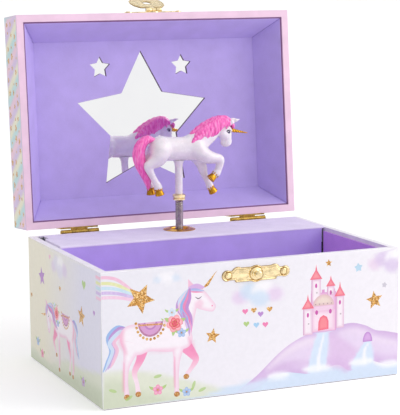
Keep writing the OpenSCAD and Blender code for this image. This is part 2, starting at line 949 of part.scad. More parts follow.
// Governor's pinion and worm wheel on one arbor
module governor_wheel() {
  color(brass)
    translate([gov_x, pole_y, 0]) {
      translate([0, 0, foot_z - 0.2])
        cylinder(r = worm_shaft_r, h = top_arm_z + arm_t + 0.4 - foot_z);
      translate([0, 0, great_z - 0.1])
        linear_extrude(wheel_t + 0.2)
          rotate([0, 0, 180/gov_pinion_teeth])
            gear(gov_pinion_teeth, mod_train);
      translate([0, 0, worm_wheel_z])
        linear_extrude(wheel_t)
          worm_wheel(worm_wheel_teeth, worm_wheel_r);
    }
}

// Worm wheel outline with narrow pointed teeth, one of them on -X
module worm_wheel(n, r) {
  root = r - 0.35;
  tip = r + 0.12;
  polygon([for (i = [0:n - 1]) each [
    [root*cos(360*(i - 0.26)/n), root*sin(360*(i - 0.26)/n)],
    [tip*cos(360*(i - 0.09)/n), tip*sin(360*(i - 0.09)/n)],
    [tip*cos(360*(i + 0.09)/n), tip*sin(360*(i + 0.09)/n)],
    [root*cos(360*(i + 0.26)/n), root*sin(360*(i + 0.26)/n)]
  ]]);
}

// Worm with its air-brake fan in front of the leg
module governor_worm() {
  worm_l = worm_turns*worm_lead;
  color(steel)
    translate([worm_x, 0, worm_z]) {
      along_y(0, fan_y - 3.6, in_back_y - 0.4, 0, worm_shaft_r);
      translate([0, pole_y - worm_l/2, 0])
        rotate([-90, 0, 0])
          linear_extrude(worm_l, twist = -360*worm_turns, slices = 9*worm_turns)
            translate([-worm_thread, 0])
              circle(worm_mean_r - 0.2, $fn = 10);
      along_y(0, fan_y - 3.2, fan_y + 1.6, 0, 1.0);
      block(-fan_r, fan_r, fan_y - 3, fan_y + 1.4, -0.2, 0.2);
    }
}

// Bent wire whose upright end the closing lid presses down, which lifts its other end into the fan
module stop_lever() {
  corners = [[tip_x, lever_y, lever_z], [elbow_x, lever_y, lever_z], [elbow_x, catch_y, lever_z],
             [elbow_x, catch_y, catch_z]];
  color(dark_steel) {
    along_y(lever_x, lever_y - 4.4, lever_y + 4.4, lever_z, lever_r);
    along_x((elbow_x + tip_x)/2, lever_y, lever_z, lever_r - 0.1, elbow_x - tip_x);
    along_z(tip_x, lever_y, lever_z, tip_top, lever_r - 0.05);
    along_y(elbow_x, catch_y, lever_y, lever_z, lever_r - 0.05);
    along_z(elbow_x, catch_y, catch_z, lever_z, lever_r - 0.1);
    along_x((elbow_x + catch_x)/2, catch_y, catch_z, lever_r - 0.05, catch_x - elbow_x);
    for (p = corners)
      translate(p)
        sphere(elbow_r);
  }
}

// --- figure --------------------------------------------------------------

// Close-wound coil, as the tube that it fills
module spring() {
  color(steel)
    translate([0, pole_y, spring_bottom])
      difference() {
        cylinder(d = spring_d, h = collar_z - spring_bottom);
        translate([0, 0, -1])
          cylinder(d = spring_d - 2*spring_wire, h = collar_z - spring_bottom + 2);
      }
}

// Plug in the top of the spring
module spring_ferrule() {
  color(brass)
    along_z(0, pole_y, collar_z - ferrule_gap - ferrule_l, collar_z - ferrule_gap, peg_r);
}

module figure_collar() {
  color(brass)
    translate([0, pole_y, 0])
      rotate_extrude()
        polygon([[pole_peg_r + run_fit, collar_z + 0.05], [collar_d/2 - 0.4, collar_z + 0.05],
                 [collar_d/2, collar_z + 0.5], [collar_d/2, collar_z + collar_h - 0.5],
                 [collar_d/2 - 0.4, collar_z + collar_h], [pole_peg_r + run_fit, collar_z + collar_h]]);
}

module figure_pole() {
  color(glossy_white) {
    along_z(0, pole_y, collar_z + 0.2, collar_z + collar_h + 0.1, pole_peg_r);
    along_z(0, pole_y, collar_z + collar_h + 0.1, belly_z, pole_d/2);
  }
}

// A limb through points [x, depth, z, radius], where depth is the distance behind the pole
module limb(points) {
  for (i = [0:len(points) - 2])
    hull()
      for (p = [points[i], points[i + 1]])
        translate([p[0], pole_y + p[1], p[2]])
          sphere(p[3], $fn = 14);
}

// Trunk, neck, head and ears
module torso() {
  limb([[-11.4, 0, 110, 6.1], [-1, 0, 109, 5.7], [9.6, 0, 108.2, 6.1]]);
  limb([[10.6, 0, 109.6, 5.4], [17, 0, 115.8, 4.4], [22.6, 0, 120.6, 3.6]]);
  limb([[22.6, 0, 120.6, 3.6], [27.4, 0, 119.4, 3.7], [28.4, 0, 111.6, 2.6]]);
  limb([[28.4, -2, 122, 1.2], [32.2, -2.6, 124.4, 0.4]]);
  limb([[28.4, 2, 122, 1.2], [32.2, 2.6, 124.4, 0.4]]);
}

// Near and far hind legs, then near and far forelegs, each from the trunk down to the fetlock
module legs() {
  limb([[-12, -2.4, 107, 4.6], [-16.6, -3, 101.4, 2.3], [-12.6, -3, 91, 1.5], [-12.2, -3, 89, 1.6]]);
  limb([[-12, 2.4, 107, 4.6], [-19, 3, 100.6, 2.2], [-16.4, 3, 91, 1.5], [-16.2, 3, 89, 1.6]]);
  limb([[11, -2.6, 104.6, 3.6], [22.4, -3, 103.4, 2.0], [22, -3, 96.6, 1.5], [20, -3, 94.4, 1.5]]);
  limb([[11, 2.6, 104.6, 3.6], [14.6, 3, 97.6, 2.0], [18.4, 3, 90.6, 1.4], [19, 3, 89, 1.5]]);
}

module figure_solid() {
  torso();
  legs();
}

module figure_body() {
  color(glossy_white)
    difference() {
      figure_solid();
      along_z(0, pole_y, 100, belly_z, pole_d/2);
    }
}

// Mane, forelock, and the tail in two halves
module hair() {
  limb([[5.4, 0, 115, 1.8], [9.6, 0, 119, 2.2], [14.4, 0, 123, 2.5], [19.8, 0, 125, 2.4],
        [25, 0, 124.6, 1.8]]);
  limb([[25, 0, 124.6, 1.8], [29.6, 0, 121.6, 1.8]]);
  limb([[-16.6, 0, 114.4, 1.8], [-22.4, 0, 112.6, 2.6], [-23, 0, 104, 2.3]]);
  limb([[-23, 0, 104, 2.3], [-20, -0.5, 96.4, 1.8], [-17.6, -0.8, 91.2, 1.1]]);
}

module figure_hair() {
  color(hot_pink)
    difference() {
      hair();
      figure_solid();
    }
}

module figure_horn() {
  color(gold_paint)
    difference() {
      translate([30.4, pole_y, 118.3])
        rotate([0, 103, 0])
          cylinder(r1 = 1.2, r2 = 0.35, h = 10.2);
      figure_solid();
      hair();
    }
}

// One hoof, flaring downwards from p in the direction of tilt about Y
module hoof(p, tilt) {
  translate([p[0], pole_y + p[1], p[2]])
    rotate([0, tilt, 0])
      translate([0, 0, -3.6])
        cylinder(r1 = 2.3, r2 = 1.7, h = 3.8);
}

module figure_hooves() {
  color(gold_paint)
    difference() {
      union() {
        hoof([-12.2, -3, 88.6], -6);
        hoof([-16.2, 3, 88.6], 6);
        hoof([19.6, -3, 94.6], 34);
        hoof([19.1, 3, 88.8], -12);
      }
      legs();
    }
}

// --- nodes ---------------------------------------------------------------

underside_sheet();
base_bottom_panel();
base_front_panel();
base_back_panel();
base_left_panel();
base_right_panel();
tray_floor_lining();
tray_front_lining();
tray_left_lining();
tray_right_lining();
platform_front_wall();
platform_cover();
platform_brackets();
grommet_ring();
lid_top_panel();
lid_front_rail();
lid_back_rail();
lid_left_rail();
lid_right_rail();
lid_front_lining();
lid_back_lining();
lid_left_lining();
lid_right_lining();
mirror();
star_panel();
left_hinge_base_leaf();
left_hinge_lid_leaf();
right_hinge_base_leaf();
right_hinge_lid_leaf();
hinge_pins();
hinge_base_nails();
hinge_lid_nails();
latch_plate();
latch_knob();
latch_nails();
hasp_plate();
hasp_flap();
hasp_pin();
hasp_nails();
movement_frame();
movement_screws();
comb();
comb_screws();
music_cylinder();
drive_arbor();
spring_barrel();
mainspring();
winding_arbor();
winding_key();
governor_wheel();
governor_worm();
stop_lever();
spring();
spring_ferrule();
figure_collar();
figure_pole();
figure_body();
figure_hair();
figure_horn();
figure_hooves();
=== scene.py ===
"""A musical jewellery box with a unicorn turning on a spring: its looks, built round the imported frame.

Lengths are in millimetres in the part's frame, and become metres when piece() makes a mesh. The lid's pieces
are drawn where the closed lid has them, and LID turns them open; HASP does the same for the lifted hasp.
"""

import json
import math

import bmesh
import bpy
import numpy as np
from mathutils import Matrix, Vector
from mathutils.bvhtree import BVHTree
from mathutils.geometry import delaunay_2d_cdt


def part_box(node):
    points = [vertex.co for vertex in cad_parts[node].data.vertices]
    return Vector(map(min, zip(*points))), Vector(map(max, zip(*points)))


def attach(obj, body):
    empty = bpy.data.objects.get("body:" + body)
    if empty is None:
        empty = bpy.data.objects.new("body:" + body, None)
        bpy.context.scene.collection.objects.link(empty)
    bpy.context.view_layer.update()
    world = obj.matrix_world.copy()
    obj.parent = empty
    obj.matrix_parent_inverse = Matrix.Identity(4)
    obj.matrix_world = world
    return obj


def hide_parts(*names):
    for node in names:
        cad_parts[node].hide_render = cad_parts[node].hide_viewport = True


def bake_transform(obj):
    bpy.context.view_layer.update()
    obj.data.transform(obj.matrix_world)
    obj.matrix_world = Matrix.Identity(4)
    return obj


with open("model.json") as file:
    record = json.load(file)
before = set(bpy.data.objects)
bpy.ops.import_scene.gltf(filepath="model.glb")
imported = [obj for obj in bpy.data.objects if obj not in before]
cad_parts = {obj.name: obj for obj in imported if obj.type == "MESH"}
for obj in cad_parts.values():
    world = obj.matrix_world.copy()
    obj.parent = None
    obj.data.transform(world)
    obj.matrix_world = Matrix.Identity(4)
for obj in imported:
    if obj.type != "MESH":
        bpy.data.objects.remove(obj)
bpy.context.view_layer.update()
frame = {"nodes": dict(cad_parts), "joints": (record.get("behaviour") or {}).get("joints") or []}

# --- measures, from the frame --------------------------------------------

MM = 0.001
JOINTS = {j["name"]: j for j in frame["joints"]}


def box_mm(node):
    """Lowest and highest corner of a CAD node, in millimetres."""
    low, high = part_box(node)
    return np.array(low) / MM, np.array(high) / MM


def turned(point, degrees):
    """Turns about the X axis through a point."""
    p = Vector(point)
    return Matrix.Translation(p) @ Matrix.Rotation(math.radians(degrees), 4, "X") @ Matrix.Translation(-p)


def joint_at(name):
    """The place of a joint, in millimetres."""
    return Vector(JOINTS[name]["pos_m"]) / MM


LID = turned(joint_at("lid_hinge"), -JOINTS["lid_hinge"]["range_deg"][1])
HASP_AXIS = LID.inverted() @ joint_at("hasp_hinge")
HASP = LID @ turned(HASP_AXIS, -JOINTS["hasp_hinge"]["range_deg"][1])


def box_before(turn, node):
    """Lowest and highest corner that a CAD node has before a turn is made."""
    corners = frame["nodes"][node].data.vertices
    points = np.array([(turn.inverted() @ (v.co / MM))[:] for v in corners])
    return points.min(0), points.max(0)


front_low, front_high = box_mm("base_front_panel")
HALF_W, FRONT_Y, BACK_Y = front_high[0], front_low[1], box_mm("base_back_panel")[1][1]
BASE_LOW, BASE_TOP = front_low[2], front_high[2]
WALL_T = front_high[1] - front_low[1]
FLOOR_Z = box_mm("base_bottom_panel")[1][2]
RIM_Z = box_before(LID, "lid_front_rail")[0][2]
TOP_BOARD_Z, LID_TOP_Z = (corner[2] for corner in box_before(LID, "lid_top_panel"))
POLE_Y = joint_at("figure_spin")[1]
ON_POLE = Matrix.Translation((0, POLE_Y, 0))
KEY_AT = Vector((joint_at("key_turn")[0], BACK_Y - WALL_T / 2, joint_at("key_turn")[2]))
KEY_HOLE_R = 3.5
NAIL_HEAD_R = 1.1
HASP_HOLE_R = 2.2
HASP_T = 0.8
WIRE_R, WIRE_PITCH = 0.275, 0.6
LEVER_X, LEVER_Y = -73.9, 46.0
SIDES = ("front", "back", "left", "right")
RIGHT, AWAY, UP = (1, 0, 0), (0, 1, 0), (0, 0, 1)

# --- colours -------------------------------------------------------------


def rgb(r, g, b):
    """A display colour, 0 to 255, as linear light."""
    return tuple(float((v / 255) ** 2.2) for v in (r, g, b))


WHITE = rgb(249, 247, 251)
GOLD = rgb(202, 146, 66)
PINK, ROSE = rgb(240, 190, 214), rgb(238, 130, 178)
LILAC, VIOLET = rgb(216, 196, 230), rgb(186, 140, 206)
SKY, BLUE, WATER = rgb(204, 222, 242), rgb(146, 180, 230), rgb(206, 222, 242)
LEAF, GRASS, SEDGE = rgb(176, 204, 130), rgb(222, 226, 208), rgb(206, 214, 190)
CREAM, AQUA = rgb(236, 232, 208), rgb(190, 222, 226)
BOW_INKS = (PINK, rgb(226, 228, 170), rgb(196, 222, 238), rgb(206, 182, 228), rgb(240, 200, 224))

# --- meshes --------------------------------------------------------------

WELD = 1e-4


def from_arrays(points, faces):
    """A bmesh of these points and faces."""
    bm = bmesh.new()
    made = [bm.verts.new(p) for p in np.asarray(points, float).tolist()]
    for face in faces:
        bm.faces.new([made[i] for i in face])
    return bm


def piece(name, bm, body, material, place=None, stands_for=(), sharp=35):
    """Makes a piece from a bmesh in millimetres, with one material. It rides on body, unless body is None."""
    if place is not None:
        bm.transform(place)
    bm.transform(Matrix.Scale(MM, 4))
    bmesh.ops.recalc_face_normals(bm, faces=bm.faces)
    mesh = bpy.data.meshes.new(name)
    bm.to_mesh(mesh)
    bm.free()
    mesh.shade_smooth()
    mesh.set_sharp_from_angle(angle=math.radians(sharp))
    mesh.materials.append(material)
    obj = bpy.data.objects.new(name, mesh)
    bpy.context.scene.collection.objects.link(obj)
    if body:
        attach(obj, body)
    if stands_for:
        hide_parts(*stands_for)
    return obj


def weighted(obj):
    """Keeps the flats of a bevelled piece flat under smooth shading."""
    obj.modifiers.new("flats", "WEIGHTED_NORMAL").keep_sharp = True
    return obj


def round_edges(bm, radius, segments=3, sharp=25):
    """Rounds every edge sharper than an angle in degrees."""
    limit = math.radians(sharp)
    edges = [e for e in bm.edges if len(e.link_faces) == 2 and e.calc_face_angle(0) > limit]
    bmesh.ops.bevel(
        bm, geom=edges, offset=radius, segments=segments, profile=0.5, affect="EDGES", clamp_overlap=True
    )
    return bm


def cad_shape(node):
    """A CAD node's own shape in millimetres, with its doubled corners joined."""
    bm = bmesh.new()
    bm.from_mesh(frame["nodes"][node].data)
    bm.transform(Matrix.Scale(1 / MM, 4))
    bmesh.ops.remove_doubles(bm, verts=bm.verts, dist=0.002)
    return bm


def softened(node, body, material, radius, segments=2):
    """A CAD node's own shape with its edges rounded, standing for that node."""
    bm = cad_shape(node)
    bmesh.ops.dissolve_limit(bm, angle_limit=math.radians(1), verts=bm.verts, edges=bm.edges)
    round_edges(bm, radius, segments)
    return weighted(piece(node + "_soft", bm, body, material, stands_for=[node], sharp=50))


def cuboid(low, high):
    """A plain block between two corners."""
    bm = bmesh.new()
    bmesh.ops.create_cube(bm, size=1)
    size, middle = Vector(high) - Vector(low), (Vector(high) + Vector(low)) / 2
    bm.transform(Matrix.Translation(middle) @ Matrix.Diagonal((*size, 1)))
    return bm


def slab(low, high, radius):
    """A block with rounded edges."""
    return round_edges(cuboid(low, high), radius, 2)


def tray(low, high, wall, floor, radius):
    """A block with a pocket from its top down to a floor, with every edge rounded."""
    bm = cuboid(low, high)
    bm.faces.ensure_lookup_table()
    top = max(bm.faces, key=lambda f: f.calc_center_median().z)
    bmesh.ops.inset_individual(bm, faces=[top], thickness=wall, use_even_offset=True)
    moved = bmesh.ops.extrude_discrete_faces(bm, faces=[top])["faces"][0]
    bmesh.ops.translate(bm, verts=moved.verts, vec=(0, 0, floor - high[2]))
    bmesh.ops.remove_doubles(bm, verts=bm.verts, dist=WELD)
    return round_edges(bm, radius)


def lathe(profile, segments=48, closed=False):
    """Turns a profile of (radius, height) about Z. A closed profile makes a ring, and an open one starts and
    ends on the axis."""
    angles = [2 * math.pi * i / segments for i in range(segments)]
    n = len(profile)
    points = [(r * math.cos(a), r * math.sin(a), z) for a in angles for r, z in profile]
    faces = []
    for i in range(segments):
        a, b = i * n, (i + 1) % segments * n
        for k in range(n if closed else n - 1):
            m = (k + 1) % n
            faces.append((a + k, b + k, b + m, a + m))
    bm = from_arrays(points, faces)
    bmesh.ops.remove_doubles(bm, verts=bm.verts, dist=WELD)
    return bm


def spline(points, steps=6, loop=False):
    """A Catmull-Rom curve through points of any number of columns."""
    p = np.array(points, float)
    n = len(p)
    out = []
    for i in range(n if loop else n - 1):
        ids = [i - 1, i, i + 1, i + 2]
        a, b, c, d = (p[k % n] if loop else p[min(max(k, 0), n - 1)] for k in ids)
        for t in np.arange(steps) / steps:
            out.append(b + 0.5 * t * (c - a + t * (2 * a - 5 * b + 4 * c - d + t * (3 * (b - c) + d - a))))
    return np.array(out if loop else [*out, p[-1]])


def hoops(points, sides):
    """A tube from hoops of points, one after another, with flat ends."""
    last = len(points) - sides
    faces = []
    for i in range(0, last, sides):
        for k in range(sides):
            m = (k + 1) % sides
            faces.append((i + k, i + m, i + sides + m, i + sides + k))
    return from_arrays(points, [*faces, tuple(range(sides)), tuple(range(last, len(points)))])


def tube(path, radius, sides):
    """A round tube along a path."""
    ahead = np.gradient(path, axis=0)
    ahead /= np.linalg.norm(ahead, axis=1)[:, None]
    across = np.cross(ahead[0], [0.3, 0.5, 0.81])
    points = []
    for p, t in zip(path, ahead):
        across = across - t * (across @ t)
        across /= np.linalg.norm(across)
        other = np.cross(t, across)
        for k in range(sides):
            a = 2 * math.pi * k / sides
            points.append(p + radius * (math.cos(a) * across + math.sin(a) * other))
    return hoops(points, sides)


# --- flat shapes ---------------------------------------------------------


def oval(x, y, rx, ry=None, turn=0, n=28):
    """An ellipse about (x, y), turned by degrees. It is a circle where only one radius is given."""
    a = np.linspace(0, 2 * math.pi, n, endpoint=False)
    c, s = math.cos(math.radians(turn)), math.sin(math.radians(turn))
    u, v = rx * np.cos(a), (ry or rx) * np.sin(a)
    return np.stack([x + c * u - s * v, y + s * u + c * v], 1)


def arc(x, y, rx, ry, start, end, n):
    """Points along an ellipse about (x, y), from one angle in radians to another."""
    return [(x + rx * math.cos(a), y + ry * math.sin(a)) for a in np.linspace(start, end, n)]


def around(x, y, r, count, start=0):
    """Evenly spaced places on a circle, from an angle in degrees, each with its own angle."""
    for k in range(count):
        turn = start + 360 * k / count
        a = math.radians(turn)
        yield x + r * math.cos(a), y + r * math.sin(a), turn


def star(x, y, r, turn=90, waist=0.46):
    """Five-pointed star with one point in the direction turn."""
    a = np.radians(turn + 36 * np.arange(10))
    q = np.where(np.arange(10) % 2, r * waist, r)
    return np.stack([x + q * np.cos(a), y + q * np.sin(a)], 1)


def heart(x, y, size):
    """A heart about size millimetres wide."""
    t = np.linspace(0, 2 * math.pi, 24, endpoint=False)
    u = 16 * np.sin(t) ** 3
    v = 13 * np.cos(t) - 5 * np.cos(2 * t) - 2 * np.cos(3 * t) - np.cos(4 * t)
    return np.stack([x + u * size / 32, y + v * size / 32], 1)


def stroke(points, steps=5):
    """The outline of a brush stroke through (x, y, width) points."""
    p = spline(points, steps)
    ahead = np.gradient(p[:, :2], axis=0)
    ahead /= np.linalg.norm(ahead, axis=1)[:, None] + 1e-9
    side = np.stack([-ahead[:, 1], ahead[:, 0]], 1) * p[:, 2:] / 2
    return np.concatenate([p[:, :2] + side, (p[:, :2] - side)[::-1]])


def block(x0, x1, y0, y1):
    """A rectangle."""
    return np.array([(x0, y0), (x1, y0), (x1, y1), (x0, y1)], float)


def measure(points, loop):
    """Distance from each point to a closed outline, negative inside it."""
    a, b = loop, np.roll(loop, -1, axis=0)
    edge, to = b - a, points[:, None] - a[None]
    t = np.clip((to * edge).sum(2) / np.maximum((edge * edge).sum(1), 1e-12), 0, 1)
    far = np.sqrt(((to - edge * t[..., None]) ** 2).sum(2).min(1))
    spans = (a[:, 1] > points[:, 1:2]) != (b[:, 1] > points[:, 1:2])
    slope = edge[:, 0] / np.where(np.abs(edge[:, 1]) < 1e-12, 1e-12, edge[:, 1])
    crossed = spans & (points[:, :1] < a[:, 0] + (points[:, 1:2] - a[:, 1]) * slope)
    return np.where(crossed.sum(1) % 2 == 1, -far, far)


def triangles(loops, free, keep):
    """Triangulates with the loops as edges and the free points inside, and keeps the triangles whose middles
    keep() wants."""
    points, edges = [], []
    for loop in loops:
        n = len(points)
        points += [Vector(p) for p in loop]
        edges += [(n + i, n + (i + 1) % len(loop)) for i in range(len(loop))]
    points += [Vector(p) for p in free]
    points, _, faces, *_ = delaunay_2d_cdt(points, edges, [], 0, 1e-5)
    points, faces = np.array([p[:] for p in points]), np.array([f for f in faces if len(f) == 3])
    faces = faces[keep(points[faces].mean(1))]
    used, faces = np.unique(faces, return_inverse=True)
    return points[used], faces.reshape(-1, 3)


def grid(low, high, step):
    """Evenly spaced points between two corners."""
    xs, ys = (np.arange(low[i] + step / 2, high[i], step) for i in (0, 1))
    return np.stack(np.meshgrid(xs, ys), 2).reshape(-1, 2)


def rim_edges(faces):
    """The edges with only one triangle, in that triangle's direction."""
    seen = {(f[i], f[(i + 1) % 3]): True for f in faces for i in range(3)}
    return [(a, b) for a, b in seen if (b, a) not in seen]


def two_sided(top, low, faces):
    """A closed sheet with triangles over the top points, and the same ones turned over on the low points."""
    n = len(top)
    sides = [(a, a + n, b + n, b) for a, b in rim_edges(faces)]
    return from_arrays([*top, *low], [*faces, *(f[::-1] + n for f in faces), *sides])


def relief(outline, holes, step, height):
    """A plate lying on z = 0 whose front rises to height(distance from its edges, points)."""

    def depth(points):
        return -np.max([measure(points, outline), *[-measure(points, h) for h in holes]], axis=0)

    free = grid(outline.min(0), outline.max(0), step)
    free = free[depth(free) > step * 0.45]
    points, faces = triangles([outline, *holes], free, lambda c: depth(c) > 0)
    rise = height(np.maximum(depth(points), 0), points)
    bm = two_sided(np.column_stack([points, rise]), np.column_stack([points, np.zeros(len(points))]), faces)
    layer = bm.verts.layers.float.new("rise")
    for vert, z in zip(bm.verts, [*rise, *rise]):
        vert[layer] = z / rise.max()
    return bm


# --- materials -----------------------------------------------------------

SOFT_PLASTIC = {"Subsurface_Weight": 0.08, "Subsurface_Scale": 0.002}


class Finish:
    """A Principled material whose colour, gloss and relief come from noise in the object's own space."""

    def __init__(self, name, colour, rough, **sockets):
        self.material = bpy.data.materials.new(name)
        self.material.use_nodes = True
        self.tree = self.material.node_tree
        self.shader = next(n for n in self.tree.nodes if n.type == "BSDF_PRINCIPLED")
        self.where = self.tree.nodes.new("ShaderNodeTexCoord").outputs["Object"]
        self.relief = None
        self.set("Base Color", (*colour, 1))
        self.set("Roughness", rough)
        for key, value in sockets.items():
            self.set(key.replace("_", " "), value)

    def plug(self, socket, value):
        """Gives a socket a plain value, or another node's output."""
        if hasattr(value, "is_output"):
            self.tree.links.new(value, socket)
        else:
            socket.default_value = value

    def set(self, socket, value):
        """Gives the shader's socket a value or an output."""
        self.plug(self.shader.inputs[socket], value)

    def node(self, kind, inputs=(), **settings):
        """Adds a node with these settings and inputs."""
        made = self.tree.nodes.new("ShaderNode" + kind)
        for key, value in settings.items():
            setattr(made, key, value)
        for key, value in dict(inputs).items():
            self.plug(made.inputs[key], value)
        return made

    def noise(self, size, detail=3, stretch=(1, 1, 1)):
        """Noise, 0 to 1, whose blotches are about size millimetres across."""
        where = self.node("Mapping", {"Vector": self.where, "Scale": stretch}).outputs[0]
        inputs = {"Vector": where, "Scale": 1 / (size * MM), "Detail": detail}
        return self.node("TexNoise", inputs).outputs["Fac"]

    def cells(self, size):
        """A random colour for each cell of about size millimetres."""
        return self.node("TexVoronoi", {"Vector": self.where, "Scale": 1 / (size * MM)}).outputs["Color"]

    def ramp(self, value, *stops):
        """Maps a value to colours or numbers at stops of (place, colour)."""
        made = self.node("ValToRGB", {"Fac": value})
        ramp = made.color_ramp
        while len(ramp.elements) < len(stops):
            ramp.elements.new(0.5)
        for element, (place, colour) in zip(ramp.elements, stops):
            element.position = place
            element.color = (colour,) * 3 + (1,) if isinstance(colour, (int, float)) else (*colour, 1)
        return made.outputs["Color"]

    def mix(self, fac, a, b, kind="MIX"):
        """Mixes two outputs that are colours."""
        return self.node("Mix", {0: fac, 6: a, 7: b}, data_type="RGBA", blend_type=kind).outputs[2]

    def bump(self, value, depth, strength=1.0):
        """Adds relief of a depth in millimetres."""
        inputs = {"Height": value, "Strength": strength, "Distance": depth * MM}
        if self.relief is not None:
            inputs["Normal"] = self.relief
        self.relief = self.node("Bump", inputs).outputs[0]
        self.set("Normal", self.relief)


def shades(colour, low, high):
    """A colour darkened and lightened by factors."""
    return tuple(tuple(min(1.0, c * k) for c in colour) for k in (low, high))


def paper(name, colour):
    """Satin laminated paper: faint fibres and a slight unevenness of tint and gloss."""
    f = Finish(name, colour, 0.5, Specular_IOR_Level=0.4)
    dark, light = shades(colour, 0.93, 1.04)
    f.set("Base Color", f.ramp(f.noise(9), (0.3, dark), (0.7, light)))
    f.set("Roughness", f.ramp(f.noise(3), (0.3, 0.42), (0.7, 0.56)))
    f.bump(f.noise(0.35, 4), 0.02, 0.5)
    return f.material


def printed(name):
    """Paper printed with the colours painted on the mesh, whose fourth channel is gold glitter."""
    f = Finish(name, WHITE, 0.5, Specular_IOR_Level=0.4)
    ink = f.node("Attribute", attribute_name="ink")
    wash = f.ramp(f.noise(2.2, 5), (0.32, (0.91, 0.905, 0.915)), (0.66, (0.94, 0.935, 0.945)))
    tint = f.mix(1.0, ink.outputs["Color"], wash, "MULTIPLY")
    flakes = f.node("SeparateColor", {"Color": f.cells(0.42)}).outputs[0]
    dark_gold, bright_gold = (0.0, rgb(120, 74, 26)), (1.0, rgb(255, 232, 176))
    glitter = f.ramp(flakes, dark_gold, (0.35, rgb(196, 136, 58)), (0.75, rgb(222, 166, 88)), bright_gold)
    f.set("Base Color", f.mix(ink.outputs["Alpha"], tint, glitter))
    rough = f.ramp(f.noise(3), (0.3, 0.42), (0.7, 0.56))
    f.set("Roughness", f.mix(ink.outputs["Alpha"], rough, f.ramp(flakes, (0.0, 0.5), (1.0, 0.22))))
    f.bump(f.noise(0.35, 4), 0.02, 0.5)
    return f.material


def flock(name, colour):
    """Short-pile flocking on card: brushed patches, a fine fibrous pile and a pale sheen."""
    f = Finish(name, colour, 0.92, Specular_IOR_Level=0.1, Sheen_Weight=0.12, Sheen_Roughness=0.5)
    f.set("Sheen Tint", (*(0.5 + 0.5 * c for c in colour), 1))
    dark, light = shades(colour, 0.95, 1.04)
    brushed = f.ramp(f.noise(9, 5), (0.3, dark), (0.7, light))
    pile = f.ramp(f.noise(0.22, 3), (0.3, (0.87, 0.87, 0.88)), (0.72, (1.0, 1.0, 1.0)))
    f.set("Base Color", f.mix(1.0, brushed, pile, "MULTIPLY"))
    f.bump(f.noise(0.3, 5), 0.1, 0.6)
    return f.material


def metal(name, colour, rough, wear=0.8, sunk=None):
    """Plated metal with uneven polish, tarnish in patches and a fine grain. Where sunk is a colour, it paints
    shade into the grooves of a stamped plate, darker where the plate lies lower."""
    f = Finish(name, colour, rough, Metallic=1.0)
    dark, light = shades(colour, wear, 1.04)
    tint = f.ramp(f.noise(2.6, 6), (0.32, dark), (0.6, light))
    if sunk:
        rise = f.node("Attribute", attribute_name="rise").outputs["Fac"]
        # painted shade: the stamped relief darkens towards the sunk colour where it lies low
        tint = f.mix(1.0, tint, f.ramp(rise, (0.42, sunk), (0.86, (1.0, 1.0, 1.0))), "MULTIPLY")
    f.set("Base Color", tint)
    f.set("Roughness", f.ramp(f.noise(1.2, 5), (0.3, rough * 0.7), (0.7, rough * 1.5)))
    f.bump(f.noise(0.5, 5), 0.02, 0.35)
    return f.material


def plastic(name, colour, rough, shade=0.9):
    """Moulded plastic with a thin gloss and a faint orange-peel surface."""
    f = Finish(name, colour, rough, Coat_Weight=0.35, Coat_Roughness=0.18, **SOFT_PLASTIC)
    dark, light = shades(colour, shade, 1.02)
    f.set("Base Color", f.ramp(f.noise(3.5, 4), (0.3, dark), (0.65, light)))
    f.set("Roughness", f.ramp(f.noise(1.5), (0.3, rough * 0.8), (0.7, rough * 1.25)))
    f.bump(f.noise(0.9, 3), 0.02, 0.4)
    return f.material


def streaked(name, deep, middle, pale):
    """Soft painted plastic in three tones that run along its locks. The deep tone lies in the bump's grooves as
    painted shade, and the pale one, glossy, on its ridges as a painted highlight.
    """
    f = Finish(name, middle, 0.3, Coat_Weight=0.4, Coat_Roughness=0.15, **SOFT_PLASTIC)
    # one noise sets tone and bump: the low parts take the deep tone as painted shade, the high parts the pale
    # tone as painted highlight
    tone = f.noise(0.9, 3, (1, 1, 0.22))
    f.set("Base Color", f.ramp(tone, (0.3, deep), (0.5, middle), (0.72, pale)))
    f.set("Roughness", f.ramp(tone, (0.3, 0.42), (0.7, 0.24)))
    f.bump(tone, 0.12, 0.6)
    return f.material


def mirror_glass(name):
    """Silvered glass with a trace of dust and fingermarks."""
    f = Finish(name, (0.93, 0.93, 0.96), 0.03, Metallic=1.0)
    f.set("Base Color", f.ramp(f.noise(20, 2), (0.3, (0.95, 0.95, 0.97)), (0.7, (0.98, 0.98, 0.99))))
    f.set("Roughness", f.ramp(f.noise(6, 6), (0.45, 0.015), (0.8, 0.06)))
    return f.material


WHITE_PAPER = paper("white paper", rgb(246, 243, 249))
PINK_PAPER = paper("pink paper", rgb(236, 202, 224))
PRINT = printed("printed paper")
LILAC_FLOCK = flock("lilac flocking", rgb(190, 172, 234))
# paler copy of the platform card's flocking for its top: painted light
PLATFORM_TOP_LIT_FLOCK = flock("platform top flocking, paler as painted light", rgb(236, 226, 252))
WALL_FLOCK = flock("mid lilac flocking", rgb(200, 180, 248))
PURPLE_FLOCK = flock("purple flocking", rgb(222, 170, 254))
# the card's dark core, darkened further as painted shade in the star cut-outs
CUT_CARD_AND_SHADE = paper("cut card core and painted shade", rgb(96, 70, 104))
# the lining's mauve folded edge, darkened as painted shade for the gap under the lid's rim
MAUVE_EDGE_SHADE = paper("mauve paper edge with painted shade", rgb(128, 88, 134))
# near-black card: painted shade inside the chamber behind the platform's wall
CHAMBER_SHADE_CARD = paper("dark card as painted chamber shade", rgb(66, 54, 62))
# grey underside paper: painted contact shade along the box's lower edges
UNDERSIDE_SHADE_PAPER = paper("underside paper, grey as painted contact shade", rgb(150, 142, 152))
BRASS = metal("bright brass", rgb(250, 228, 180), 0.18, 0.74)
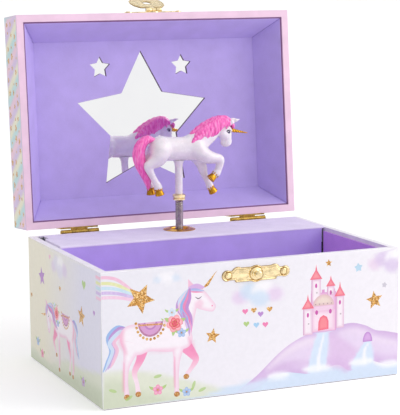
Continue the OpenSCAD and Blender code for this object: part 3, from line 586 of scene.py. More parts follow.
# brass whose stamped grooves carry painted shade
STAMPED_BRASS = metal("stamped brass, painted groove shade", rgb(250, 228, 180), 0.17, 0.74, sunk=(0.46, 0.34, 0.2))
WARM_BRASS = metal("ring brass", rgb(226, 174, 84), 0.16, 0.7)
OLD_BRASS = metal("hinge brass", rgb(190, 154, 80), 0.28, 0.5)
STEEL = metal("nickel steel", rgb(196, 196, 202), 0.28)
DARK_STEEL = metal("blued steel", rgb(92, 92, 102), 0.35)
SPRING_STEEL = metal("spring wire", rgb(196, 186, 188), 0.16, 0.7)
CAST = metal("die-cast zinc", rgb(170, 170, 174), 0.45)
GOLD_PAINT = metal("gold paint", rgb(214, 156, 52), 0.28, 0.62)
WHITE_PLASTIC = plastic("white plastic", rgb(236, 227, 235), 0.24, 0.92)
# deep and pale tones paint shade and highlight along the locks
PINK_PLASTIC = streaked("pink plastic", rgb(232, 72, 166), rgb(249, 104, 188), rgb(255, 158, 214))
EYE_PAINT = plastic("dark eye paint", rgb(52, 34, 62), 0.2)
EYE_WHITE = plastic("eye highlight", rgb(250, 250, 252), 0.2)
IRIS = plastic("iris paint", rgb(84, 66, 112), 0.2)
MIRROR = mirror_glass("mirror")

# What stays as the CAD has it
CAD_LOOKS = {
    "mirror": MIRROR,
    "movement_frame": CAST,
    "movement_screws": STEEL,
    "comb": DARK_STEEL,
    "comb_screws": STEEL,
    "music_cylinder": BRASS,
    "drive_arbor": BRASS,
    "spring_barrel": BRASS,
    "mainspring": DARK_STEEL,
    "governor_wheel": BRASS,
    "governor_worm": STEEL,
}

# --- printed artwork -----------------------------------------------------

SHEET_LIFT = 0.05
EDGE_R = 0.22


def graded(a, b, start, end):
    """A colour that runs from a at start to b at end."""
    way = np.array(end, float) - start

    def colour(points, depth=None):
        t = np.clip(((points - start) @ way) / (way @ way), 0, 1)[:, None]
        return np.array(a) * (1 - t) + np.array(b) * t

    return colour


def rimmed(edge, middle, depth):
    """A wash that pools to one colour along the shape's edge and is another in its middle."""

    def colour(points, distance):
        t = np.clip(-distance / depth, 0, 1)[:, None]
        return np.array(edge) * (1 - t) + np.array(middle) * t

    return colour


def banded(period, slope):
    """Diagonal pastel bands that run into each other."""
    inks = np.array([AQUA, CREAM, LILAC, rgb(238, 204, 222)])

    def colour(points, depth=None):
        t = ((points[:, 1] + slope * points[:, 0]) / period % 1) * len(inks)
        i = np.floor(t).astype(int) % len(inks)
        f = np.clip((t - np.floor(t)) * 2.2 - 0.6, 0, 1)[:, None]
        return inks[i] * (1 - f) + inks[(i + 1) % len(inks)] * f

    return colour


class Picture:
    """Artwork for one face: u runs to the right from the face's middle, and v upwards. Later shapes cover
    earlier ones."""

    def __init__(self, width, low, high, ground):
        self.border = block(-width / 2, width / 2, low, high)
        self.ground = ground
        self.shapes = []

    def paint(self, outline, colour, soft=0.0, strength=1.0, foil=0.0, detail=None):
        """Adds a shape, which is one outline or a list of outlines that merge. soft is the width of its faded
        edge, foil its share of gold glitter, and detail the spacing that its shading needs."""
        several = isinstance(outline, list) and isinstance(outline[0], np.ndarray)
        parts = outline if several else [np.array(outline)]
        self.shapes.append((parts, colour, soft, strength, foil, detail))

    def ink(self, points):
        """Colour and glitter at each point."""
        out = np.column_stack([self.ground(points), np.zeros(len(points))])
        for parts, colour, soft, strength, foil, _ in self.shapes:
            corners = np.concatenate(parts)
            low, high = corners.min(0) - soft / 2, corners.max(0) + soft / 2
            near = np.flatnonzero(((points > low) & (points < high)).all(1))
            if not len(near):
                continue
            spot = points[near]
            depth = np.min([measure(spot, part) for part in parts], axis=0)
            cover = np.clip(0.5 - depth / soft, 0, 1) if soft else (depth < 0) * 1.0
            cover = cover * cover * (3 - 2 * cover) * strength
            shade = colour(spot, depth) if callable(colour) else np.array(colour)
            out[near, :3] += cover[:, None] * (shade - out[near, :3])
            out[near, 3] += cover * (foil - out[near, 3])
        return out

    def mesh(self):
        """The face in triangles, with crisp outlines as edges and more points where shading needs them."""
        crisp = [part for s in self.shapes if not s[2] for part in s[0]]
        free = [grid(self.border[0], self.border[2], 2.0)]
        for parts, *_, detail in self.shapes:
            for part in parts if detail else ():
                spots = grid(part.min(0), part.max(0), detail)
                free.append(spots[measure(spots, part) < -detail * 0.3])
        (x0, y0), (x1, y1) = self.border[0], self.border[2]

        def on_face(c):
            return (c[:, 0] > x0) & (c[:, 0] < x1) & (c[:, 1] > y0) & (c[:, 1] < y1)

        return triangles([self.border, *crisp], np.concatenate(free), on_face)

    def sheet(self, name, place, body):
        """The picture as a thin closed sheet lying on its face. Each triangle takes its inks from just inside
        its corners, so crisp edges stay crisp."""
        points, faces = self.mesh()
        corners = points[faces]
        inside = corners + 0.02 * (corners.mean(1)[:, None] - corners)
        inks = list(self.ink(inside.reshape(-1, 2)).reshape(-1, 3, 4))
        n, rim = len(points), rim_edges(faces)
        low = {p: n + i for i, p in enumerate(sorted({p for edge in rim for p in edge}))}
        skirt = [(a, low[a], low[b], b) for a, b in rim]
        edge_ink = {p: self.ink(points[p : p + 1] * 0.998 + self.border.mean(0) * 0.002)[0] for p in low}
        inks += [[edge_ink[a], edge_ink[a], edge_ink[b], edge_ink[b]] for a, b in rim]
        onward, loop = dict(rim), [rim[0][0]]
        while onward[loop[-1]] != loop[0]:
            loop.append(onward[loop[-1]])
        inks.append([edge_ink[p] for p in reversed(loop)])
        top = np.column_stack([points, np.full(n, SHEET_LIFT)])
        under = np.column_stack([points[sorted(low)], np.full(len(low), -SHEET_LIFT)])
        bm = from_arrays(np.vstack([top, under]), [*faces, *skirt, [low[p] for p in reversed(loop)]])
        layer = bm.loops.layers.float_color.new("ink")
        for face, colours in zip(bm.faces, inks):
            for corner, colour in zip(face.loops, colours):
                corner[layer] = colour
        return piece(name, bm, body, PRINT, place, sharp=60)


def facing(origin, right=RIGHT, up=UP):
    """Places a drawing at origin with its u along right and its v along up, as seen from outside."""
    u, v = Vector(right), Vector(up)
    place = Matrix((u, v, u.cross(v))).transposed().to_4x4()
    place.translation = Vector(origin)
    return place


def cloud(picture, x, y, size, tint=LILAC, other=SKY, strength=0.8):
    """A soft cloud of overlapping puffs, tinted along its edges."""
    puffs = [
        (-0.8, 0, 0.34, tint), (-0.35, 0.22, 0.44, other), (0.2, 0.25, 0.46, WHITE), (0.75, 0.02, 0.36, tint),
        (0.1, -0.12, 0.4, other),
    ]
    for dx, dy, r, colour in puffs:
        puff = oval(x + dx * size, y + dy * size, r * size, r * size * 0.8)
        picture.paint(puff, colour, soft=size * 0.28, strength=strength, detail=size * 0.16)


def flower(picture, x, y, r, colour):
    """Five round petals that overlap, darker towards the gold middle, with two leaves behind."""
    for s in (-1, 1):
        bend, tip = (x + s * r * 1.2, y + r * 0.4, r * 0.55), (x + s * r * 1.8, y + r * 0.9, 0.1)
        picture.paint(stroke([(x, y, 0.2), bend, tip]), LEAF)
    petals = [oval(px, py, r * 0.48, r * 0.42, turn, 16) for px, py, turn in around(x, y, r * 0.58, 5, 90)]
    pale, deep = tuple(0.45 + 0.55 * c for c in colour), tuple(c * 0.8 for c in colour)
    picture.paint(petals, rimmed(colour, pale, r * 0.4), detail=r * 0.22)
    picture.paint(oval(x, y, r * 0.42, n=16), deep, soft=r * 0.5, strength=0.8, detail=r * 0.2)
    picture.paint(oval(x, y, r * 0.2, n=10), GOLD, foil=0.6)


def rose(picture, x, y, r):
    """A full round rose: rings of petals that darken to a red heart, with leaves behind."""
    for turn in (20, 150, 260):
        c, s = math.cos(math.radians(turn)), math.sin(math.radians(turn))
        middle, tip = (x + r * 0.9 * c, y + r * 0.9 * s, r * 0.5), (x + r * 1.5 * c, y + r * 1.5 * s, 0.1)
        picture.paint(stroke([(x, y, 0.3), middle, tip]), LEAF)
    outer = (0.62, 0.42, 6, 10, rgb(244, 150, 162), rgb(249, 190, 196))
    inner = (0.4, 0.34, 5, 40, rgb(228, 88, 108), rgb(246, 146, 154))
    core = (0.18, 0.24, 4, 70, rgb(206, 60, 84), rgb(236, 108, 120))
    for out, size, count, start, edge, middle in (outer, inner, core):
        petals = [oval(px, py, r * size, n=14) for px, py, _ in around(x, y, r * out, count, start)]
        picture.paint(petals, rimmed(edge, middle, r * 0.22), detail=r * 0.16)
    for px, py, _ in around(x, y, r * 0.34, 5):
        picture.paint(oval(px, py, r * 0.07, n=6), GOLD, foil=0.6)


def hearts(picture, places, size):
    """Hearts at places of (x, y, colour), the gold ones in glitter."""
    for x, y, colour in places:
        picture.paint(heart(x, y, size), colour, foil=1.0 if colour is GOLD else 0.0)


def flowers(picture, *places):
    """Flowers at places of (x, y, size, colour)."""
    for place in places:
        flower(picture, *place)


def gold_stars(picture, *places):
    """Gold glitter stars at places of (x, y, size, turn)."""
    for x, y, r, turn in places:
        picture.paint(star(x, y, r, turn), GOLD, foil=1.0)


def rainbow(picture, paths, width):
    """Five pastel bands along paths, the outermost first."""
    for path, colour in zip(paths, BOW_INKS):
        picture.paint(stroke([(x, y, width) for x, y in path], 8), rimmed(colour, WHITE, width * 1.6))


def arched_rainbow(picture, x, y, r, gap, width, start, end, n):
    """A rainbow whose bands are arcs about (x, y), with r the outermost radius."""
    rainbow(picture, [arc(x, y, r - gap * k, r - gap * k, start, end, n) for k in range(5)], width)


class Unicorn:
    """A standing unicorn about 56 mm tall at size 1, with its hooves at (x, y). It looks to the right where
    way is 1 and to the left where it is -1, and bow is how far its neck bends down, in degrees."""

    NECK_ROOT = (11, 30)

    def __init__(self, picture, x, y, size=1.0, way=1, bow=0.0):
        self.picture, self.x, self.y, self.size, self.way, self.bow = picture, x, y, size, way, bow
        self.fine = 0.8 * size

    def paint(self):
        """Paints it from the back to the front."""
        self.far_side()
        self.near_side()
        self.head()
        self.saddle()
        self.hooves_and_flowers()

    def at(self, points, above=False):
        """Points of the drawing, in the picture. Those above the neck's root bend down with it."""
        p = np.array(points, float)
        if above and self.bow:
            x, y = self.NECK_ROOT
            a = -math.radians(self.bow)
            u, v = p[:, 0] - x, p[:, 1] - y
            p[:, 0] = x + u * math.cos(a) - v * math.sin(a)
            p[:, 1] = y + u * math.sin(a) + v * math.cos(a)
        p[:, :2] *= (self.size * self.way, self.size)
        p[:, :2] += (self.x, self.y)
        if p.shape[1] == 3:
            p[:, 2] *= self.size
        return p

    def limb(self, *points, above=False):
        """The outline of a limb through (x, y, width) points."""
        return stroke(self.at(points, above))

    def brush(self, colour, *points, above=False, **how):
        """Paints a brush stroke through (x, y, width) points."""
        self.picture.paint(self.limb(*points, above=above), colour, **how)

    def spot(self, x, y, rx, ry=None, n=28, above=False):
        """The outline of an oval at a point of the drawing."""
        return oval(*self.at([(x, y)], above)[0], rx * self.size, ry and ry * self.size, n=n)

    def far_side(self):
        """The two legs on the far side, and the tail."""
        hind = self.limb((-7, 23, 6), (-8.2, 18.4, 4), (-11, 12.8, 2.8), (-9.9, 7, 2.1), (-9.3, 2.6, 2.6))
        fore = self.limb((14, 24, 7), (18.6, 18.4, 4.4), (20.2, 15.4, 3.2), (17.6, 11.4, 2.2), (15.5, 9, 2.4))
        top, low = (self.x, self.y + 18 * self.size), (self.x, self.y + 9 * self.size)
        shaded = graded(rgb(242, 150, 190), rgb(246, 222, 235), top, low)
        self.picture.paint([hind, fore], shaded, detail=self.fine)
        locks = (
            (0, 0, BLUE), (1.2, -0.7, VIOLET), (2.2, -1.5, rgb(196, 170, 220)), (3.1, -2.3, PINK),
            (0.8, -2.6, SKY),
        )
        for dx, dy, colour in locks:
            root, bend = (-15, 34 + dy * 0.4, 1.4), (-19.6 + dx, 35 + dy, 1.9)
            back, middle = (-24 + dx, 30.6 + dy, 1.9), (-22.6 + dx, 24, 1.7)
            out, tip = (-24.8 + dx, 18.5, 1.4), (-27 + dx * 1.2, 14 + dx * 0.6, 0.2)
            self.brush(colour, root, bend, back, middle, out, tip, strength=0.92)

    def near_side(self):
        """The body, neck, head and near legs as one shape, and the soft shading on them."""
        hide = [
            (-12, 35.7), (-4, 35.4), (6, 34.4), (13, 33), (18.4, 28), (16.8, 22.4), (8, 20.8), (-3, 22),
            (-8.5, 20.8), (-15, 22), (-18.2, 29.5), (-16.4, 34),
        ]
        head = [
            (16.6, 50.6), (20.6, 51.6), (25, 48.6), (28.6, 44.2), (30.8, 41), (29.4, 38.3), (25.2, 39),
            (20.6, 41), (16, 46),
        ]
        shank = self.limb((-11.6, 27, 10), (-14, 19.6, 5.2), (-15.2, 14.6, 3), (-15.4, 8, 2.2), (-15, 2, 2.6))
        cannon = self.limb((11.4, 26, 8), (10.6, 17, 3.6), (10.3, 12, 2.6), (10.2, 7, 2.2), (10.3, 0.6, 2.5))
        neck = self.limb((11, 27, 13), (14, 34.5, 10.6), (17, 41.5, 8), (19, 47, 7), above=True)
        parts = [spline(self.at(hide), 5, True), shank, cannon, neck, spline(self.at(head, True), 5, True)]
        coat = rimmed(rgb(240, 204, 224), rgb(247, 239, 246), 2.2 * self.size)
        self.picture.paint(parts, coat, detail=self.fine)
        tones = (
            (ROSE, 2.2, 0.6, (16.5, 27, 0.4), (18.6, 21, 2.2), (17, 22, 0.2)),
            (ROSE, 3.0, 0.45, (-16.6, 33, 1), (-17.4, 28, 2.6), (-15, 22, 0.6)),
            (PINK, 2.4, 0.4, (-4, 22.4, 0.6), (4, 21.6, 2), (12, 22.4, 0.6)),
            (ROSE, 0.9, 0.5, (-16.2, 18, 0.5), (-16.3, 12, 1.0), (-16.4, 4, 0.5)),
            (ROSE, 0.9, 0.5, (9.2, 18, 0.5), (9.2, 12, 1.0), (9.3, 3, 0.5)),
        )
        for colour, soft, strength, *points in tones:
            self.brush(colour, *points, soft=soft * self.size, strength=strength, detail=self.fine)

    def head(self):
        """Ear, horn, forelock, wavy mane and face."""
        self.picture.paint(self.at([(16.6, 50.4), (16.6, 55), (20, 51.4)], True), PINK)
        self.picture.paint(self.at([(23.4, 49.4), (27, 50.9), (31.6, 58)], True), GOLD, foil=1.0)
        self.brush(rgb(214, 176, 224), (25.2, 50.2, 0.3), (21, 50.8, 3.2), (16.6, 50.4, 1.2), above=True)
        self.brush(BLUE, (24.8, 48.6, 0.3), (20.6, 49.3, 1.7), (16.8, 49.8, 0.8), above=True, strength=0.7)
        self.brush(ROSE, (24.4, 48, 0.2), (20.4, 48.4, 0.9), (17, 49, 0.4), above=True, strength=0.8)
        falls = (
            (12.2, 1.2, 33.4, VIOLET), (13, 1.0, 36.4, SKY), (13.6, 1.5, 32, PINK), (14.4, 1.3, 30, BLUE),
            (15, 1.0, 28.4, LILAC), (15.6, 1.4, 27.4, VIOLET), (16.2, 1.1, 30, SKY),
            (16.6, 1.5, 28.6, rgb(232, 150, 204)), (14.7, 1.5, 34, BLUE), (15.8, 1.3, 33, ROSE),
            (17, 1.1, 32, VIOLET),
        )
        crest = 50.2
        for x, wave, low, colour in falls:
            drop = (crest - low) / 4
            left, right = (x - wave, crest - 2 * drop, 1.7), (x + wave * 0.8, crest - 3 * drop, 1.5)
            start, tip = (x - 0.2 + wave * 0.5, crest - drop, 1.6), (x + 2.2 - wave * 0.6, low, 0.2)
            self.brush(colour, (17.4, 50.4, 0.9), start, left, right, tip, above=True, strength=0.9)
        self.brush(rgb(96, 80, 104), (20.2, 46, 0.16), (21.8, 45.1, 0.5), (23.6, 46, 0.16), above=True)
        cheek = self.spot(22.4, 42.6, 2, above=True)
        self.picture.paint(cheek, PINK, soft=2 * self.size, strength=0.6, detail=self.fine)
        self.picture.paint(self.spot(28.9, 41, 0.4, n=8, above=True), ROSE)

    def saddle(self):
        """A round saddle cloth in four tones, with a gold strap and a row of gold beads along its edge."""
        x, y, sweep = -2.7, 36, (math.pi, 2 * math.pi)
        cloths = (
            (1.0, rgb(178, 112, 178)), (0.86, rgb(214, 158, 206)), (0.52, rgb(190, 128, 192)),
            (0.4, rgb(226, 178, 206)),
        )
        for k, colour in cloths:
            cloth = self.at(arc(x, y, 6.3 * k, 7 * k, *sweep, 18))
            self.picture.paint(cloth, colour, foil=0.25 if k == 1.0 else 0.0)
        strap = [(-9, 35.4), (3.6, 35), (3.5, 34.2), (-8.8, 34.6)]
        self.picture.paint(self.at(strap), rgb(216, 150, 110), foil=0.5)
        for bead in arc(x, y, 7.3, 8.2, *sweep, 13):
            self.picture.paint(self.spot(*bead, 0.72, n=10), GOLD, foil=0.7)

    def hooves_and_flowers(self):
        """Gold hooves, and flowers in the mane round one large rose."""
        for hoof_at in ((-15, 1.2), (10.3, -0.2), (-9.3, 2), (15.2, 7.9)):
            self.picture.paint(self.spot(*hoof_at, 1.5, 1.3, 14), rgb(168, 98, 50), foil=0.5)
        for x, y, r, colour in ((13, 29.4, 2.2, BLUE), (8.2, 39.6, 2.0, SKY), (5.2, 36, 1.4, PINK)):
            flower(self.picture, *self.at([(x, y)], True)[0], r * self.size, colour)
        rose(self.picture, *self.at([(9.6, 34.2)], True)[0], 4.1 * self.size)


def tower(picture, x, low, high, w):
    """A slim tower with a shaded left side, a pointed roof and two windows."""
    left, right = x - w / 2, x + w / 2
    plaster = rimmed(rgb(226, 184, 212), rgb(246, 234, 242), 1.4)
    picture.paint(block(left, right, low, high), plaster, detail=0.7)
    picture.paint(block(left, left + 0.5, low, high), rgb(206, 140, 190), strength=0.6)
    tall = 7.4 if w > 4.4 else 5.4
    waist = high + tall * 0.6
    spire = [(x - w * 0.66, high), (x + w * 0.66, high), (x + 0.5, waist), (x, high + tall), (x - 0.5, waist)]
    picture.paint(spire, rimmed(rgb(238, 104, 130), rgb(246, 156, 164), 1.3), detail=0.7)
    picture.paint(oval(x, high - 3.2, 0.6, 1.2, n=12), rgb(206, 84, 170))
    picture.paint(oval(x + 0.4, (low + high) / 2 - 1, 0.5, 0.4, n=8), rgb(150, 132, 138), strength=0.6)


def castle(picture, x, y):
    """A small fairy-tale castle with its gate's sill at (x, y)."""
    stone = rimmed(rgb(222, 158, 208), rgb(240, 206, 228), 2.2)
    picture.paint(block(x - 7, x + 7, y - 1, y + 18.6), stone, detail=0.8)
    for k in range(5):
        picture.paint(block(x - 6.8 + 2.9 * k, x - 5.2 + 2.9 * k, y + 18.4, y + 20), stone)
    porch = rimmed(rgb(236, 190, 218), rgb(246, 222, 236), 2)
    picture.paint(block(x - 6.6, x + 6.4, y - 0.8, y + 9.6), porch, detail=0.8)
    towers = ((-8.6, -2, 11.1, 5.2), (-4.1, 14, 25.4, 5.2), (4, 17, 21.4, 4), (9.1, 0, 16, 4.6))
    for dx, low, high, w in towers:
        tower(picture, x + dx, y + low, y + high, w)
    arch = arc(x, y + 12, 5.8, 5.6, 0, math.pi, 14)
    picture.paint(arch, rimmed(rgb(222, 186, 190), rgb(236, 216, 206), 2), detail=0.8)
    for k in range(-2, 3):
        picture.paint(oval(x + 2.2 * k, y + 12.9, 0.42, 0.34, n=8), rgb(160, 130, 138), strength=0.7)
    for s in (-1, 1):
        picture.paint(oval(x + s * 3.8, y + 8.8, 0.8, 1.2, n=12), rgb(202, 90, 170))
    gate = [
        (x - 3, y - 0.4), (x + 2.8, y), (x + 2.8, y + 4), (x + 1.9, y + 6.2), (x, y + 7.2),
        (x - 1.9, y + 6.2), (x - 2.8, y + 4),
    ]
    picture.paint(gate, rimmed(rgb(240, 100, 128), rgb(246, 140, 150), 1.4), detail=0.6)


def meadow(picture, top, colour=GRASS, soft=3.0):
    """Ground under a line of points, down past the face's lower edge."""
    top = np.array(top, float)
    low = [(top[-1][0], -6), (top[0][0], -6)]
    picture.paint(np.vstack([spline(top), low]), colour, soft=soft)


def base_face(width, ground):
    """An empty picture for one side of the base."""
    return Picture(width - 2 * EDGE_R, BASE_LOW + EDGE_R, BASE_TOP - EDGE_R, ground)


def hill_and_lake(p):
    """The lilac hill of the front, with its waterfalls, its cave and the lake that mirrors it."""
    hill = [
        (-12, 0), (0, 8), (12, 18), (21, 23.4), (30, 26.5), (42, 28.2), (52, 29.4), (60, 27.4), (66, 24.4),
        (73, 23), (84, 19), (84, 9), (74, 6), (62, 9), (52, 5), (44, 9), (30, 6), (14, 8), (0, 2),
    ]
    p.paint(spline(hill, 5, True), rimmed(rgb(210, 178, 222), rgb(230, 212, 238), 6), detail=1.4)
    folds = (
        (rgb(244, 232, 244), 0.7, (6, 11, 1), (16, 18, 3.4), (26, 22, 4), (38, 23, 1)),
        (rgb(206, 170, 216), 0.5, (2, 6.4, 1), (16, 12, 3), (30, 12, 1)),
        (rgb(242, 228, 244), 0.6, (46, 25, 1), (56, 25, 3), (66, 20, 3), (80, 16, 1)),
    )
    for colour, strength, *points in folds:
        p.paint(stroke(points), colour, soft=4, strength=strength)
    gorge = [(39, 26), (40, 18), (39.5, 9), (45, 7), (50, 3.4), (53, 9), (58, 12), (50, 20)]
    p.paint(spline(gorge, 5, True), rgb(220, 186, 226), soft=4, strength=0.7)
    for (x0, w0), (x1, w1), y0 in (((36.6, 5.4), (32.5, 9), 27.6), ((61.4, 4), (58, 12), 18.6)):
        fall = [(x0 - w0 / 2, y0), (x0 + w0 / 2, y0), (x1 + w1 / 2, 6), (x1 - w1 / 2, 6)]
        p.paint(spline(fall, 6, True), rgb(214, 228, 246), soft=1.2, detail=1.0)
        foam = stroke([(x0 + 1, y0, 0.5), (x1 + 1.6, 14, 1.6), (x1 + 2, 6, 2.6)])
        p.paint(foam, WHITE, soft=1.0, strength=0.8)
    lake = [
        (-26, 1), (-14, 4), (0, 5.4), (14, 7.6), (26, 5.4), (38, 8), (50, 4.6), (60, 8), (72, 5), (84, 6),
        (84, -4), (-26, -4),
    ]
    p.paint(spline(lake, 4, True), rgb(212, 226, 244), soft=2.6, strength=0.9)
    for x, y, rx in ((12, 7, 6), (33, 8.4, 8), (58, 9, 7), (74, 6.4, 6)):
        p.paint(oval(x, y, rx, 1.8), rgb(246, 248, 252), soft=2.4, strength=0.85, detail=1.0)
    cave = rimmed(rgb(188, 132, 206), rgb(214, 170, 224), 1.2)
    p.paint(arc(61.4, 19, 2.7, 5, 0, math.pi, 12), cave, detail=0.7)


def front_picture():
    """A unicorn by a lake, with a castle on the hill beyond and a rainbow that runs in from the left."""
    p = base_face(2 * HALF_W, graded(rgb(234, 232, 240), rgb(242, 238, 244), (-60, 60), (60, 0)))
    cloud(p, -46, 60, 6, SKY, WHITE, 0.5)
    meadow(p, [(-84, 18), (-70, 18), (-56, 16), (-42, 12), (-30, 8), (-18, 4), (-8, 1)])
    meadow(p, [(-84, 13), (-72, 14), (-62, 9), (-50, 4), (-40, 0)], rgb(208, 215, 192), 6)
    meadow(p, [(-26, 1), (-18, 3.6), (0, 6), (18, 8), (44, 8), (64, 6), (84, 5)], WATER, 2.5)
    hill_and_lake(p)
    castle(p, 36.6, 27.6)
    cloud(p, 1, 47.6, 12, rgb(228, 204, 234), SKY)
    cloud(p, 74, 58, 11, rgb(232, 208, 232), LILAC)
    hearts(p, [(-5.8, 40.6, ROSE), (-1.2, 40.8, GOLD), (2.4, 38.6, VIOLET), (7.2, 40.6, GOLD)], 3.1)
    hearts(p, [(-5.2, 34.4, LEAF), (0.1, 33.4, rgb(166, 206, 238)), (4.9, 33.2, ROSE)], 3.1)
    bows = [
        [(-84, 63.2), (-76, 63), (-70, 61), (-63, 55)],
        [(-84, 60.4), (-76, 60.3), (-70, 58.6), (-62, 54)],
        [(-84, 58), (-76, 58), (-69, 56.4), (-62, 53)],
        [(-84, 55.8), (-76, 55.8), (-69, 54.6), (-62, 52)],
        [(-84, 53.6), (-76, 53.6), (-69, 52.8), (-62, 51)],
    ]
    rainbow(p, bows, 1.5)
    gold_stars(p, (-59.6, 51.6, 7.4, 62), (-23, 30.2, 3.9, 80), (65.2, 39.8, 4.8, 98), (39.4, 60.6, 2.0, 90))
    p.paint(star(56, 57, 2.4, 96, 0.6), rgb(184, 214, 234))
    p.paint(star(70.8, 47, 1.6, 80, 0.6), rgb(206, 200, 212))
    Unicorn(p, -52, 4).paint()
    flowers(p, (-51.4, 7, 2.5, ROSE), (-36.7, 4.4, 2.2, BLUE))
    for x, y, turn in ((-51.4, 13.6, 10), (-33, 7.4, 70), (-28.6, 4.6, 20), (-66, 4.6, 30), (-74, 9, -20)):
        p.paint(oval(x, y, 2.1, 0.8, turn, 12), LEAF, strength=0.8)
    return p


def left_picture():
    """A unicorn that bows its head to graze, with the start of the front's rainbow behind it."""
    p = base_face(BACK_Y - FRONT_Y, graded(rgb(238, 233, 214), rgb(226, 224, 240), (-30, 50), (28, 44)))
    cloud(p, -5, 57, 11, rgb(222, 206, 234), rgb(226, 222, 240))
    meadow(p, [(-60, 8), (-40, 6), (-24, 5), (-8, 9), (6, 12.5), (24, 13), (40, 15), (60, 18)])
    meadow(p, [(-60, 4), (-20, 2), (6, 6), (30, 9), (60, 10)], SEDGE, 6)
    p.paint(star(-34, 48, 5.2, 100), VIOLET)
    hearts(p, [(-52.6, 35, GOLD), (-4.4, 47, GOLD), (46.4, 44.6, VIOLET), (-20, 60.5, PINK)], 3.0)
    p.paint(heart(32.4, 55.6, 5.2), LEAF)
    gold_stars(p, (28, 39.4, 5.4, 84))
    rainbow(p, [[(49.6, z), (54, z), (60, z)] for z in (62.6, 60, 57.6, 55.2, 52.8)], 1.5)
    Unicorn(p, 1, 5, 0.84, -1, 58).paint()
    flowers(p, (-43, 12, 2.3, BLUE), (-36, 7, 2.3, ROSE), (29, 7.4, 2.4, VIOLET))
    return p


def right_picture():
    """A castle on a lilac hill, with a rainbow down to the water."""
    p = base_face(BACK_Y - FRONT_Y, graded(rgb(247, 243, 250), rgb(232, 228, 244), (-40, 30), (50, 50)))
    hill = [
        (-64, 19), (-48, 24), (-32, 22), (-14, 27), (4, 20), (22, 14), (40, 12), (64, 16), (64, -6), (-64, -6)
    ]
    p.paint(spline(hill, 6, True), rimmed(rgb(208, 178, 222), rgb(232, 216, 240), 7), detail=2.0)
    meadow(p, [(-60, 6), (-30, 4), (0, 8), (30, 9), (60, 12)], WATER)
    castle(p, -22, 25)
    cloud(p, 26, 52, 12)
    cloud(p, -44, 57, 9, PINK, LILAC)
    arched_rainbow(p, 14, 10, 34, 2.4, 1.6, 2.6, 0.2, 9)
    gold_stars(p, (42, 38, 5, 80), (-4, 56, 3, 100))
    hearts(p, [(-48, 44, ROSE), (-40, 38, GOLD), (48, 56, VIOLET), (6, 36, PINK)], 3.2)
    flowers(p, (30, 8, 2.4, ROSE), (40, 11, 2.2, BLUE))
    return p


def back_picture():
    """A unicorn beside a wide rainbow in a meadow."""
    p = base_face(2 * HALF_W, graded(rgb(249, 246, 251), rgb(240, 236, 246), (-60, 60), (60, 0)))
    meadow(p, [(-84, 10), (-50, 13), (-20, 9), (10, 12), (40, 10), (84, 14)])
    meadow(p, [(-84, 5), (-40, 7), (0, 3), (40, 5), (84, 7)], SEDGE, 5)
    arched_rainbow(p, 34, 8, 42, 3, 2.0, 3.0, 0.14, 12)
    cloud(p, -6, 16, 12, SKY, WHITE)
    cloud(p, 72, 18, 12, LILAC, SKY)
    cloud(p, -40, 56, 12, PINK, SKY)
    Unicorn(p, -46, 4, 0.8).paint()
    gold_stars(p, (-68, 46, 4.4, 84), (-14, 52, 3.4, 84), (34, 26, 4.4, 84), (60, 54, 2.6, 84))
    hearts(p, [(24, 20, ROSE), (44, 19, VIOLET), (-72, 26, PINK), (34, 14, LEAF)], 3.4)
    flowers(p, (-70, 7, 2.4, ROSE), (-20, 8, 2.4, BLUE), (18, 5.5, 2.4, VIOLET), (58, 7, 2.4, ROSE))
    return p


def spotted(picture, rng, spacing):
    """Scatters small gold stars, hearts and dots over a face."""
    (x0, y0), (x1, y1) = picture.border[0], picture.border[2]
    columns, rows = int((x1 - x0) // spacing), max(1, int((y1 - y0) // spacing))
    for i in range(columns):
        for k in range(rows):
            x = x0 + (i + 0.5 + rng.uniform(-0.22, 0.22)) * (x1 - x0) / columns
            y = y0 + (k + 0.5 + rng.uniform(-0.22, 0.22)) * (y1 - y0) / rows
            kind, size = (i + 2 * k) % 3, rng.uniform(0.7, 1.1)
            if kind == 0:
                gold_stars(picture, (x, y, 2.3 * size, rng.uniform(60, 120)))
            elif kind == 1:
                hearts(picture, [(x, y, GOLD)], 3.4 * size)
            else:
                picture.paint(oval(x, y, 0.9 * size, n=10), GOLD, foil=1.0)


def lid_side_picture(width, seed):
    """Pastel bands with gold spots, for one side of the lid."""
    p = Picture(width - 2 * EDGE_R, RIM_Z + EDGE_R, LID_TOP_Z - EDGE_R, banded(34, 1.5))
    spotted(p, np.random.default_rng(seed), 6.0)
    return p


def lid_top_picture():
    """A unicorn and a rainbow in a scalloped gold frame, on spotted pastel bands."""
    p = Picture(2 * (HALF_W - EDGE_R), FRONT_Y + EDGE_R, BACK_Y - EDGE_R, banded(34, 0.45))
    spotted(p, np.random.default_rng(5), 13)
    lobes = 1 + 0.045 * np.cos(np.linspace(0, 2 * math.pi, 72, endpoint=False) * 12)
    panel = oval(0, 0, 56, 41, n=72) * lobes[:, None]
    p.paint(panel * 1.06, GOLD, foil=1.0)
    p.paint(panel * 1.03, graded(rgb(250, 247, 252), rgb(228, 222, 242), (0, 40), (0, -40)))
    arched_rainbow(p, 4, -16, 44, 3, 2.1, 2.9, 0.24, 14)
    cloud(p, -38, -6, 13, SKY, WHITE)
    cloud(p, 44, -5, 12, LILAC, WHITE)
    Unicorn(p, 0, -34, 0.84).paint()
    gold_stars(p, (-33, 18, 3.6, 84), (36, 16, 3.2, 84), (-20, -26, 2.6, 84), (30, -26, 3.4, 84))
    hearts(p, [(-28, 6, ROSE), (34, 4, VIOLET), (-33, -16, PINK)], 3.6)
    flowers(p, (-8, -36, 2.3, ROSE), (8, -37, 2.3, BLUE), (20, -33, 2.3, VIOLET), (-20, -34, 2.3, PINK))
    return p


